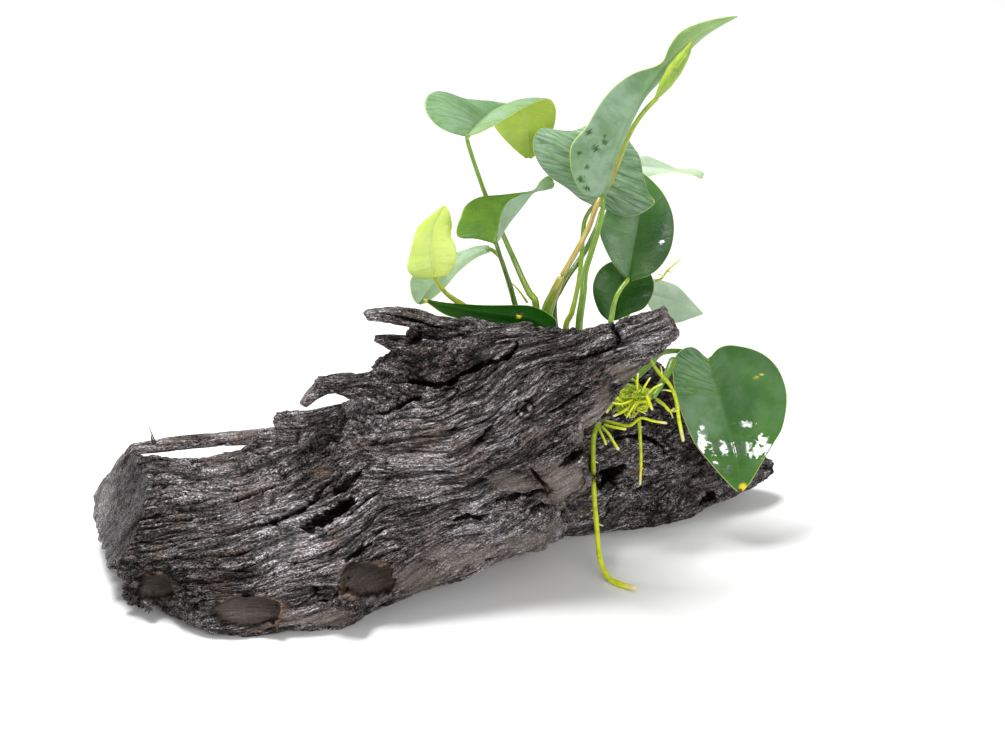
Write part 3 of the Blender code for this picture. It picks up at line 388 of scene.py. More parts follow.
BUD_PATH = [(657, 97, 16), (665, 85, 16), (676, 68, 17), (686, 53, 18), (692, 42, 19)]
BUD_RADII = [0.9, 2.4, 2.9, 2.1, 0.5]
PEDUNCLE_PATH = [(656, 99, 16.5), (643, 113, 19), (631, 131, 22), (621, 155, 23), (612, 179, 22),
                 (602, 195, 19), (596, 207, 16), (589, 227, 14), (577, 250, 10), (563, 274, 6)]
SHEATH_PATH = [(560, 280, 5), (555, 291, 4), (548, 308, 5), (546, 325, 5)]
SHEATH_RADII = [1.6, 2.3, 2.7, 1.9]
SHEATH_FOOT = (41.5, 6, 77)
SHOOT_PATH = [(673, 361, 18), (667, 374, 13), (660, 386, 5), (654, 396, 0.5)]
SHOOT_RADII = [1.7, 1.5, 1.2, 1.1]

# Roots: radius at the start and the end in millimetres, then the path
ROOTS = {
    "root_long": (1.0, 1.1, [(599, 424, 4), (595, 432, 2), (593, 450, -1), (594, 492, -7), (597, 530, -12),
                             (600, 559, -18), (608, 577, -24), (620, 584, -29), (634, 588, -33)]),
    "root_hanging": (0.8, 0.5, [(639, 420, 4), (640, 436, 5), (641, 460, 6), (640, 484, 7)]),
    "root_right": (0.8, 0.8, [(651, 361, 6), (659, 373, 5), (670, 385, 5), (676, 400, 8),
                              (679, 420, 10), (683, 440, 10)]),
    "root_forked": (0.8, 0.6, [(657, 400, 8), (664, 405, 10), (670, 411, 11), (674, 409, 12)]),
    "root_wandering": (0.7, 0.5, [(606, 421, 3), (622, 425, 1), (631, 425, 0), (641, 418, -1),
                                  (653, 421, -1), (666, 423, 0)]),
    "root_short_upper": (0.6, 0.6, [(605, 425, 1), (613, 427, 0), (625, 429, 0)]),
    "root_short_middle": (0.6, 0.6, [(602, 427, 1), (608, 433, 0), (613, 441, 0), (618, 449, 0)]),
    "root_short_lower": (0.6, 0.5, [(599, 429, 0), (603, 437, -1), (606, 444, -1)]),
    "root_upper_right": (0.5, 0.3, [(656, 281, 32), (662, 278, 33), (668, 270, 34), (681, 259, 35)]),
    "root_wood_top": (0.5, 0.3, [(527, 302, 12), (520, 292, 11), (513, 284, 10)]),
}
THIN_ROOTS = ("root_upper_right", "root_wood_top")
TANGLE_CENTRE = (630, 402, 0)
# The look of each leaf: which skin is the upper one, tones from deep green (0) to yellow green (1) at the
# left half, the right half and the tip, the tone of the lower skin, the painted grey sheen (a reflection
# painted into the colour) at the same three places, the height of the ripples in mm and how many veins each
# half has.
# Pale adds a whiter painted sheen. What a leaf doesn't name is as usual.
USUAL_LOOK = dict(upper=1, under=0.5, ripple=0.02, pale=0.0, dull=0.0, folds=0.1, groove=1.0,
                  under_grey=0.4, tip_from=(0.5, 0.75))
LOOKS = {
    "leaf_top_left": dict(left=0.38, right=0.44, tip=0.45, under=0.8, grey=(0.5, 0.6, 0.5), under_grey=0.15,
        folds=0.4, ripple=0.05, veins=16),
    "leaf_tall": dict(left=0.23, right=0.28, tip=0.48, under=0.6, grey=(0.65, 0.5, 0.35), veins=18),
    "leaf_broad_back": dict(left=0.26, right=0.15, tip=0.26, grey=(0.75, 0.4, 0.65), tip_from=(0.6, 0.85),
        folds=0.6, ripple=0.2, veins=11),
    "leaf_right_middle": dict(left=0.18, right=0.13, tip=0.16, dull=0.3, grey=(0.3, 0.05, 0.1), veins=15),
    "leaf_round_low": dict(left=0.13, right=0.09, tip=0.13, dull=0.4, grey=(0.08, 0.0, 0.05), veins=12),
    "leaf_far_right": dict(left=0.24, right=0.24, tip=0.3, grey=(0.9, 0.8, 0.8), pale=0.3, ripple=0.08,
        veins=9),
    "leaf_edge_on": dict(left=0.35, right=0.35, tip=0.5, grey=(0.9, 0.9, 0.7), pale=0.35, ripple=0.05,
        veins=12),
    "leaf_folded": dict(upper=-1, left=0.66, right=0.66, tip=0.5, under=0.46, grey=(0.0, 0.9, 0.8),
        tip_from=(0.68, 0.8), under_grey=1.0, ripple=0.03, veins=14),
    "leaf_young": dict(left=0.84, right=0.86, tip=0.8, under=0.9, grey=(0.25, 0.2, 0.1), ripple=0.03,
        veins=10),
    "leaf_low_left": dict(upper=-1, left=0.32, right=0.3, tip=0.34, grey=(0.8, 0.5, 0.35), pale=0.2,
        ripple=0.06, veins=12),
    "leaf_resting": dict(upper=-1, left=0.02, right=0.0, tip=0.08, under=0.3, grey=(0.0, 0.0, 0.0),
        dull=0.8, ripple=0.015, veins=14),
    "leaf_front_right": dict(upper=-1, left=0.17, right=0.15, tip=0.18, under=0.4, grey=(0.36, 0.16, 0.1),
        folds=0.6, folds_at=(690, 372, 42, 34), dull=0.85, groove=0.3, ripple=0.03, veins=9),
}
# Zones of painted light (glints) and painted shade on the wood: (column, row, width, height, lean, strength)
PAINTED_LIGHT_AND_SHADE_ZONES = [
    (395, 487, 50, 16, -20, 0.9), (332, 476, 16, 9, -20, 0.5), (305, 540, 40, 12, -25, 0.8),
    (262, 534, 26, 12, -25, 0.6), (198, 494, 16, 9, 0, 0.5), (440, 525, 50, 18, -25, 0.6),
    (470, 440, 60, 25, -20, 0.5), (540, 400, 45, 14, -35, 0.4), (520, 480, 40, 12, -30, 0.3),
    (217, 507, 40, 9, -5, -0.8), (320, 463, 42, 11, -15, -0.8), (240, 455, 50, 10, -5, -0.5),
    (440, 345, 70, 16, 5, -0.4), (400, 380, 45, 16, 0, -0.3), (360, 420, 40, 14, 0, -0.4),
    (480, 375, 40, 14, -15, -0.1), (560, 345, 60, 12, -5, 0.1), (200, 590, 60, 14, 15, -0.8),
    (330, 560, 40, 8, -20, -0.5), (690, 470, 80, 30, -10, -0.6), (640, 430, 50, 25, 0, -0.9),
    (150, 540, 40, 15, 0, -0.5), (640, 340, 40, 12, -20, 0.6), (588, 418, 14, 22, 0, 1.0),
]
# Dark star-like marks on the tall leaf, where its painted sheen is left out and its tone is darker:
# (leaf, column, row, radius)
LEAF_STARS = [
    ("leaf_tall", 595, 148, 5.5), ("leaf_tall", 604, 142, 4.5), ("leaf_tall", 588, 132, 5.0),
    ("leaf_tall", 580, 153, 4.5), ("leaf_tall", 581, 179, 5.5), ("leaf_tall", 587, 188, 4.5),
    ("leaf_tall", 587, 167, 4.0), ("leaf_tall", 605, 136, 3.5),
]
# Films of water that glint: (leaf, column, row, width, height)
WET_PATCHES = [
    ("leaf_front_right", 703, 437, 6, 17), ("leaf_front_right", 700, 450, 5, 8),
    ("leaf_front_right", 721, 448, 11, 9), ("leaf_front_right", 741, 448, 12, 9),
    ("leaf_front_right", 757, 451, 13, 7), ("leaf_front_right", 768, 449, 7, 8),
    ("leaf_front_right", 744, 424, 12, 4), ("leaf_front_right", 762, 440, 7, 6),
    ("leaf_front_right", 728, 470, 7, 6), ("leaf_front_right", 716, 466, 5, 5),
    ("leaf_right_middle", 661, 242, 3, 3),
]
# Damage on the leaves in the front view: (leaf, column, row, radius)
LEAF_HOLES = [("leaf_resting", 518, 303, 1.6),
              ("leaf_resting", 520, 314, 1.7), ("leaf_young", 456, 234, 2.6)]
LEAF_SPOTS = [
    ("leaf_front_right", 756, 378, 1.7, "yellow"),
    ("leaf_front_right", 762, 374, 1.5, "yellow"), ("leaf_front_right", 743, 487, 4.5, "yellow"),
    ("leaf_front_right", 740, 491, 3.0, "brown"), ("leaf_front_right", 704, 446, 1.4, "yellow"),
    ("leaf_resting", 424, 300, 4.0, "yellow"), ("leaf_resting", 422, 298, 2.2, "brown"),
    ("leaf_resting", 519, 316, 2.6, "yellow"), ("leaf_tall", 741, 15, 2.2, "brown"),
    ("leaf_young", 450, 233, 1.6, "yellow"), ("leaf_broad_back", 655, 201, 2.0, "yellow"),
]
# Tones of the stalks from the leaf down
PLAIN_TONES = [0.55, 0.5, 0.4]
STALK_TONES = {
    "leaf_top_left": [0.5, 0.45, 0.5, 0.75, 0.8],
    "leaf_tall": [0.6, 0.5, 0.42, 0.42, 0.35],
    "leaf_broad_back": [0.3, 0.5, 0.75, 0.8, 0.5],
    "leaf_right_middle": [0.7, 0.65, 0.6, 0.5],
    "leaf_edge_on": [0.3, 0.25, 0.2, 0.2],
    "leaf_folded": [0.2, 0.2, 0.22, 0.22],
    "leaf_young": [0.95, 0.9, 0.85, 0.7],
    "leaf_low_left": [0.6, 0.75, 0.8, 0.6],
    "leaf_front_right": [0.35, 0.3, 0.3],
}

# Rootlets: (column, row, depth, end column, end row)
ROOTLETS = {
    "root_long": [(596, 478, -5, 600, 477), (594, 495, -7, 590, 497), (598, 524, -10, 603, 526),
                  (595, 519, -10, 592, 518), (595, 462, -3, 598, 463), (594, 510, -8, 591, 511)],
    "root_hanging": [(640, 428, 5, 643, 427), (641, 470, 6, 643, 468)],
    "root_right": [(662, 376, 5, 661, 366), (671, 391, 6, 662, 390), (678, 410, 8, 674, 412)],
    "root_forked": [(670, 411, 11, 673, 418)],
    "root_upper_right": [(664, 276, 33, 657, 274), (668, 271, 34, 672, 274)],
}
TANGLE_STRANDS = 130
# Shoots and stouter roots in the tangle: radius, tones, path
TANGLE_SHOOTS = [
    (0.68, (0.6, 0.7), [(622, 398, 2), (612, 405, 0), (607, 412, -1)]),
    (0.62, (0.6, 0.8), [(634, 398, 1), (628, 408, -2), (614, 416, -3)]),
    (0.50, (0.7, 0.9), [(638, 396, 0), (637, 384, -1), (638, 374, -1)]),
    (0.43, (0.7, 0.9), [(640, 396, 0), (645, 386, -1), (650, 378, -1)]),
    (0.43, (0.7, 0.9), [(644, 398, 0), (654, 388, 0), (662, 384, 1)]),
    (0.56, (0.75, 0.95), [(636, 402, 0), (646, 402, -2), (652, 408, -2)]),
    (0.74, (0.75, 0.85), [(647, 396, -1), (649, 402, -3), (652, 409, -3)]),
    (0.50, (0.7, 0.9), [(628, 396, 1), (619, 388, 0), (616, 384, 1)]),
    (0.37, (0.8, 1.0), [(626, 404, -1), (616, 398, -3), (609, 396, -2)]),
    (0.43, (0.7, 0.9), [(632, 400, -2), (622, 404, -4), (613, 403, -3)]),
    (0.43, (0.7, 0.9), [(636, 402, -2), (630, 412, -4), (627, 417, -3)]),
    (0.56, (0.45, 0.6), [(640, 392, 2), (630, 386, 1), (624, 384, 2)]),
    (0.56, (0.45, 0.6), [(644, 392, 3), (636, 382, 3), (630, 378, 3)]),
]
# The furthest that a hair of wood may start from the skin
FIBRE_REACH = 5 * MM
# Hairs of wood: (column, row, depth, end column, end row, radius in mm), and edges with many:
# first place, last place, how many, length in pixels and lean in degrees
FIBRES = [(160, 456, -18, 150, 432, 0.42), (152, 440, -18, 150, 432, 0.5), (133, 454, -18, 126, 449, 0.25),
          (140, 458, -18, 131, 459, 0.2)]
FIBRE_EDGES = [
    ((126, 596, -52), (158, 612, -62), 46, 9, 250), ((98, 470, -25), (94, 500, -38), 16, 3, 180),
    ((105, 545, -48), (126, 585, -52), 20, 4, 190), ((165, 618, -66), (215, 637, -72), 22, 5, 260),
    ((134, 458, -17), (165, 455, -17), 18, 4, 60), ((296, 425, -22), (322, 420, -22), 10, 3, 80),
]

WORLD_STRENGTH = 0.42
# Softboxes: name, place and target in metres, width and height in metres, power in watts
SOFTBOXES = [
    ("softbox_back", (-0.30, 0.12, 1.32), (0.0, 0, 0.04), (0.6, 0.4), 22),
    ("softbox_right", (0.78, -0.78, 0.48), (0.08, 0, 0.06), (0.30, 0.16), 1.4),
    ("softbox_left", (-0.20, -1.03, 0.33), (0.08, 0, 0.06), (0.30, 0.14), 1.3),
    ("softbox_front", (0.40, -0.93, 0.60), (0.08, 0, 0.06), (0.44, 0.18), 2.8),
]


def place(x, y, z):
    """A point in the row frame, from the CAD's layout place in millimetres."""
    return Vector((x, y, z)) * MM + FRAME_SHIFT


def seen(column, row, depth):
    """The point at the layout's Y = depth millimetres that the front view shows at a column and row."""
    eye = VIEW_TARGET - VIEW_DISTANCE * Vector(FORWARD)
    across = (column - VIEW_CENTRE[0]) * PIXEL
    up = (VIEW_CENTRE[1] - row) * PIXEL
    ray = VIEW_DISTANCE * Vector(FORWARD) + Vector((across, 0, 0)) + up * Vector(UPWARD)
    return eye + ray * ((depth * MM - eye.y) / ray.y) + FRAME_SHIFT


def seen_path(path):
    return [seen(*p) for p in path]


def in_view(points):
    """Columns, rows and camera depths in metres of an array of points."""
    local = points - np.array(VIEW_TARGET + FRAME_SHIFT)
    s, c = math.sin(VIEW_TILT), math.cos(VIEW_TILT)
    depth = local[:, 1] * c - local[:, 2] * s
    scale = VIEW_DISTANCE / (VIEW_DISTANCE + depth) / PIXEL
    columns = VIEW_CENTRE[0] + local[:, 0] * scale
    rows = VIEW_CENTRE[1] - (local[:, 1] * s + local[:, 2] * c) * scale
    return columns, rows, depth


def spline(points, count, closed=False):
    """`count` points at even arc lengths on a smooth curve through `points`."""
    knots = np.array([list(p) for p in points], dtype=float)
    spans = len(knots) if closed else len(knots) - 1
    steps = 16
    t = np.arange(steps)[:, None] / steps
    dense = []
    for i in range(spans):
        if closed:
            a, b, c, d = (knots[(i + k) % len(knots)] for k in (-1, 0, 1, 2))
        else:
            a, b, c, d = (knots[min(max(i + k, 0), spans)] for k in (-1, 0, 1, 2))
        dense.append(0.5 * (2 * b + (c - a) * t + (2 * a - 5 * b + 4 * c - d) * t ** 2
                            + (3 * b - a - 3 * c + d) * t ** 3))
    dense.append(knots[:1] if closed else knots[-1:])
    dense = np.concatenate(dense)
    lengths = np.concatenate([[0], np.cumsum(np.linalg.norm(np.diff(dense, axis=0), axis=1))])
    wanted = np.linspace(0, lengths[-1], count + 1)[:-1] if closed else np.linspace(0, lengths[-1], count)
    return np.stack([np.interp(wanted, lengths, dense[:, k]) for k in range(dense.shape[1])], axis=1)


def add_object(name, data):
    obj = bpy.data.objects.new(name, data)
    bpy.context.scene.collection.objects.link(obj)
    return obj


def mesh_object(name, points, faces):
    data = bpy.data.meshes.new(name)
    data.from_pydata([tuple(p) for p in points], [], [tuple(int(i) for i in f) for f in faces])
    return add_object(name, data)


def ring_faces(count, around):
    """The faces of a closed tube: quads from each ring to the next, and a cap at both ends."""
    faces = []
    for k in range(count - 1):
        for i in range(around):
            j = (i + 1) % around
            faces.append((k * around + i, k * around + j, (k + 1) * around + j, (k + 1) * around + i))
    faces.append(tuple(reversed(range(around))))
    faces.append(tuple(range((count - 1) * around, count * around)))
    return faces


def faced_outward(obj):
    mesh = bmesh.new()
    mesh.from_mesh(obj.data)
    bmesh.ops.recalc_face_normals(mesh, faces=mesh.faces)
    mesh.to_mesh(obj.data)
    mesh.free()
    return obj


def loft(name, rings):
    """A closed mesh through an array of rings, capped at both ends."""
    return faced_outward(mesh_object(name, rings.reshape(-1, 3), ring_faces(*rings.shape[:2])))


def section_loft(name, sections, around, rings):
    """A closed form through sections at X stations, each smoothed to `around` points."""
    stations = sorted(sections)
    outlines = [spline(sections[x], around, closed=True) for x in stations]
    rails = [spline([place(x, *outline[i]) for x, outline in zip(stations, outlines)], rings)
             for i in range(around)]
    return loft(name, np.stack(rails, axis=1))


def limb(name, path, sizes, around=28, count=36, flat=0.0):
    """A tapering limb along a path. Each size is (half depth, half height) in millimetres."""
    centres = spline(path, count)
    halves = spline([(*size, 0) for size in sizes], count)
    angles = 2 * math.pi * np.arange(around) / around
    c, s = np.cos(angles), np.sin(angles)
    square = 1 - flat * (1 - np.maximum(abs(c), abs(s)))
    rings = []
    for k in range(count):
        ahead = Vector(centres[min(k + 1, count - 1)] - centres[max(k - 1, 0)])
        side = Vector((0, 1, 0)) - ahead * ahead.y / ahead.length_squared
        side.normalize()
        over = ahead.cross(side).normalized()
        rings.append(centres[k] + (np.outer(c * halves[k][0] / square, side)
                                   + np.outer(s * halves[k][1] / square, over)) * MM)
    return loft(name, np.array(rings))


def applied(obj):
    """A new mesh object holding obj as its modifiers leave it. obj is removed."""
    bpy.context.view_layer.update()
    graph = bpy.context.evaluated_depsgraph_get()
    data = bpy.data.meshes.new_from_object(obj.evaluated_get(graph))
    name = obj.name
    old = obj.data
    bpy.data.objects.remove(obj)
    if isinstance(old, bpy.types.Mesh):
        bpy.data.meshes.remove(old)
    return add_object(name, data)


def wood_forms():
    """The shapes that the driftwood is fused from, as in the CAD, and finer splinters."""
    forms = [section_loft("trunk_form", TRUNK_SECTIONS, 120, 150),
             section_loft("rear_form", REAR_SECTIONS, 90, 120)]
    for limbs, where in ((SEEN_LIMBS, seen), (PLACED_LIMBS, place)):
        for name, (flat, path, sizes) in limbs.items():
            forms.append(limb(name + "_form", [where(*p) for p in path], sizes, flat=flat))
    return forms


def fused(name, objects, voxel):
    """The objects as one skin, by a voxel remesh, gently smoothed where they meet."""
    mesh = bmesh.new()
    for obj in objects:
        mesh.from_mesh(obj.data)
        bpy.data.objects.remove(obj)
    data = bpy.data.meshes.new(name)
    mesh.to_mesh(data)
    mesh.free()
    obj = add_object(name, data)
    remesh = obj.modifiers.new("Fuse", "REMESH")
    remesh.mode = "VOXEL"
    remesh.voxel_size = voxel
    smooth = obj.modifiers.new("Soften", "SMOOTH")
    smooth.factor = 0.5
    smooth.iterations = 5
    return applied(obj)


NOISE_RANDOM = np.random.default_rng(7)
SHUFFLE = NOISE_RANDOM.permutation(256)
SLOPES = NOISE_RANDOM.normal(size=(256, 3))
SLOPES /= np.linalg.norm(SLOPES, axis=1)[:, None]


def noise_field(points):
    """Smooth noise from about -1 to 1 at each of an array of points."""
    cell = np.floor(points).astype(int)
    part = points - cell
    ease = part ** 3 * (part * (part * 6 - 15) + 10)
    total = np.zeros(len(points))
    for corner in np.ndindex(2, 2, 2):
        spot = cell + corner
        index = SHUFFLE[(SHUFFLE[(SHUFFLE[spot[:, 0] & 255] + spot[:, 1]) & 255] + spot[:, 2]) & 255]
        weight = np.prod(np.where(np.array(corner) == 1, ease, 1 - ease), axis=1)
        total += weight * (SLOPES[index] * (part - corner)).sum(axis=1)
    return total * 1.7


def grain_map():
    """Two smooth maps over the front view, in pixels: the distance along the grain and across it."""
    c0, c1, r0, r1 = GRAIN_AREA
    columns = np.arange(c0, c1 + 1, GRAIN_STEP)
    rows = np.arange(r0, r1 + 1, GRAIN_STEP)
    grid_c, grid_r = np.meshgrid(columns, rows)
    lean = np.zeros((2, *grid_c.shape))
    for column, row, angle in GRAIN:
        weight = 1 / ((grid_c - column) ** 2 + (grid_r - row) ** 2 + 60) ** 1.5
        lean[0] += weight * math.cos(math.radians(angle))
        lean[1] -= weight * math.sin(math.radians(angle))
    lean /= np.linalg.norm(lean, axis=0)
    height, width = grid_c.shape
    index = np.arange(height * width).reshape(height, width)
    middle = 0.25 * (lean[:, :-1, :-1] + lean[:, 1:, :-1] + lean[:, :-1, 1:] + lean[:, 1:, 1:])
    middle = (middle / np.linalg.norm(middle, axis=0)).reshape(2, -1)
    corners = [index[:-1, :-1].ravel(), index[:-1, 1:].ravel(), index[1:, :-1].ravel(), index[1:, 1:].ravel()]
    slope_over = 0.5 / GRAIN_STEP * np.array((-1, 1, -1, 1))
    slope_down = 0.5 / GRAIN_STEP * np.array((-1, -1, 1, 1))
    ahead = middle[0] * slope_over[:, None] + middle[1] * slope_down[:, None]
    aside = -middle[1] * slope_over[:, None] + middle[0] * slope_down[:, None]
    starts = np.concatenate([index[:, :-1].ravel(), index[:-1].ravel()])
    ends = np.concatenate([index[:, 1:].ravel(), index[1:].ravel()])
    maps = []
    for strict, loose, over, down in ((aside, ahead, *lean), (ahead, aside, -lean[1], lean[0])):
        rise = GRAIN_STEP * np.concatenate([(0.5 * (over[:, :-1] + over[:, 1:])).ravel(),
                                            (0.5 * (down[:-1] + down[1:])).ravel()])
        system = np.zeros((height * width, height * width))
        target = np.zeros(height * width)
        system[0, 0] = 1e-4
        for a in range(4):
            np.add.at(target, corners[a], GRAIN_PULL * loose[a])
            for b in range(4):
                pull = strict[a] * strict[b] + GRAIN_PULL * loose[a] * loose[b]
                np.add.at(system, (corners[a], corners[b]), pull)
        for a, b, sign in ((starts, starts, 1), (ends, ends, 1), (starts, ends, -1), (ends, starts, -1)):
            np.add.at(system, (a, b), sign * GRAIN_EVEN)
        np.add.at(target, ends, GRAIN_EVEN * rise)
        np.add.at(target, starts, -GRAIN_EVEN * rise)
        maps.append(np.linalg.solve(system, target).reshape(height, width))
    return maps


def read_map(grid, columns, rows):
    """Values of a map over the front view at columns and rows, in pixels."""
    c0, _, r0, _ = GRAIN_AREA
    x = np.clip((columns - c0) / GRAIN_STEP, 0, grid.shape[1] - 1.001)
    y = np.clip((rows - r0) / GRAIN_STEP, 0, grid.shape[0] - 1.001)
    i, j = x.astype(int), y.astype(int)
    u, v = x - i, y - j
    u, v = u * u * (3 - 2 * u) * 0.15 + u * 0.85, v * v * (3 - 2 * v) * 0.15 + v * 0.85
    return ((grid[j, i] * (1 - u) + grid[j, i + 1] * u) * (1 - v)
            + (grid[j + 1, i] * (1 - u) + grid[j + 1, i + 1] * u) * v)


def distance_to(path, columns, rows):
    """Distance in pixels from each place to a path in the front view, and the share along the path."""
    line = spline([(c, r, 0) for c, r in path], 24)[:, :2]
    best = np.full(len(columns), 1e9)
    share = np.zeros(len(columns))
    for k in range(len(line) - 1):
        a, b = line[k], line[k + 1]
        step = b - a
        t = np.clip(((columns - a[0]) * step[0] + (rows - a[1]) * step[1]) / (step @ step), 0, 1)
        d = np.hypot(columns - a[0] - t * step[0], rows - a[1] - t * step[1])
        closer = d < best
        best[closer] = d[closer]
        share[closer] = (k + t[closer]) / (len(line) - 1)
    return best, share


def ramp(values, low, high):
    """0 below low, 1 above high, smooth between."""
    t = np.clip((values - low) / (high - low), 0, 1)
    return t * t * (3 - 2 * t)


def carved(columns, rows, depths, ragged):
    """How deep the cracks and hollows go at each place, in millimetres."""
    total = np.zeros(len(columns))
    for group, flare in ((CRACKS, 1.0), (HOLLOWS, 1.3)):
        for width, depth, near, far, path in group:
            line = np.array(path, dtype=float)
            reach = 6 * width / PIXEL_MM
            inside = ((columns > line[:, 0].min() - reach) & (columns < line[:, 0].max() + reach)
                      & (rows > line[:, 1].min() - reach) & (rows < line[:, 1].max() + reach)
                      & (depths > near) & (depths < far))
            if not inside.any():
                continue
            off, share = distance_to(path, columns[inside], rows[inside])
            taper = np.sqrt(np.clip(4 * share * (1 - share), 0, 1)) * 0.8 + 0.2
            half = width * taper * (1 + 0.8 * ragged[inside]) / PIXEL_MM
            sunk = depth * taper * (1 - ramp(off, 0.35 * half * flare, 1.25 * half * flare))
            total[inside] = np.maximum(total[inside], sunk)
    return total


def valley(values, width):
    """Narrow valleys where the values cross zero: 1 at the bottom, 0 from `width` away."""
    return np.clip(1 - abs(values) / width, 0, 1) ** 1.5


def painted_light_and_shade_zones(columns, rows):
    """Zones of painted light up to 1 and of painted shade down to -1, for the side that the front view shows.
    """
    total = np.zeros(len(columns))
    for column, row, across, down, lean, strength in PAINTED_LIGHT_AND_SHADE_ZONES:
        turned = math.radians(lean)
        along = ((columns - column) * math.cos(turned) + (rows - row) * math.sin(turned)) / across
        beside = ((rows - row) * math.cos(turned) - (columns - column) * math.sin(turned)) / down
        total += strength * np.exp(-(along ** 2 + beside ** 2))
    return np.clip(total, -1, 1)


def off_centre(columns, rows, column, row, across=1.0, down=1.0):
    """Distance from the middle of an oval in the front view, 1 at its edge, or in pixels from a spot."""
    return np.hypot((columns - column) / across, (rows - row) / down)


def patch_mask(patches, columns, rows, depths, soft=0.4):
    """1 inside the patches and 0 outside, smooth between."""
    total = np.zeros(len(columns))
    for patch in patches:
        column, row, width, height = patch[:4]
        near, far = patch[4:] if len(patch) > 4 else (-999, 999)
        off = off_centre(columns, rows, column, row, width, height)
        inside = (depths > near) & (depths < far)
        total = np.maximum(total, np.where(inside, 1 - ramp(off, 1 - soft, 1 + soft / 2), 0))
    return total


def thickness_behind(obj, points, normals):
    """How thick the wood is behind each point, in metres, up to 20 mm."""
    tree = BVHTree.FromObject(obj, bpy.context.evaluated_depsgraph_get())
    limit = 20 * MM
    found = np.full(len(points), limit)
    for i in range(len(points)):
        n = Vector(normals[i])
        hit = tree.ray_cast(Vector(points[i]) - n * 0.4 * MM, -n, limit)
        if hit[3] is not None:
            found[i] = hit[3]
    return found


def mesh_arrays(data):
    """The places and the normals of a mesh's points."""
    points = np.empty(len(data.vertices) * 3)
    normals = np.empty(len(data.vertices) * 3)
    data.vertices.foreach_get("co", points)
    data.vertices.foreach_get("normal", normals)
    return points.reshape(-1, 3), normals.reshape(-1, 3)


def keep_clear(points, path, radius):
    """Pushes points back to `radius` from a path."""
    line = spline(path, 60)
    for spot in line:
        offset = points - spot
        distance = np.linalg.norm(offset, axis=1)
        near = distance < radius
        points[near] = spot + offset[near] * (radius / np.maximum(distance[near], 1e-6))[:, None]
    return points


def store(data, name, values):
    """Keeps a number or a vector for each point of a mesh, for its material."""
    kind = "FLOAT" if values.ndim == 1 else "FLOAT_VECTOR"
    layer = data.attributes.new(name, kind, "POINT")
    layer.data.foreach_set("value" if values.ndim == 1 else "vector", values.astype(np.float32).ravel())


def knot_shape(columns, rows, normals):
    """How high the knot stands in mm and how dark its rings are, on the side that the photo shows."""
    off = off_centre(columns, rows, *KNOT) * PIXEL_MM
    knot = np.exp(-(off / 5.2) ** 2) * (normals[:, 1] < 0)
    height = knot * (1.6 - 2.6 * np.exp(-((off - 3.6) / 0.9) ** 2) - 3.8 * np.exp(-(off / 1.5) ** 2))
    rings = knot * (1.1 * np.exp(-((off - 3.4) / 0.7) ** 2) + 1.6 * np.exp(-(off / 1.2) ** 2)) * 2
    return height, rings


def broken_off(points, columns, rows, depths, ragged):
    """Draws the end of the trunk in front of the rear limb to its broken line in the front view."""
    border = np.interp(rows, *zip(*BROKEN_END))
    share = ramp(columns, TRUNK_END_COLUMN - 45, TRUNK_END_COLUMN) * (1 - ramp(depths, 2, 9))
    share = share * ramp(rows, BROKEN_END[0][0], BROKEN_END[0][0] + 20)
    points[:, 0] += (border - TRUNK_END_COLUMN + 2 * ragged) * share * PIXEL
    return points


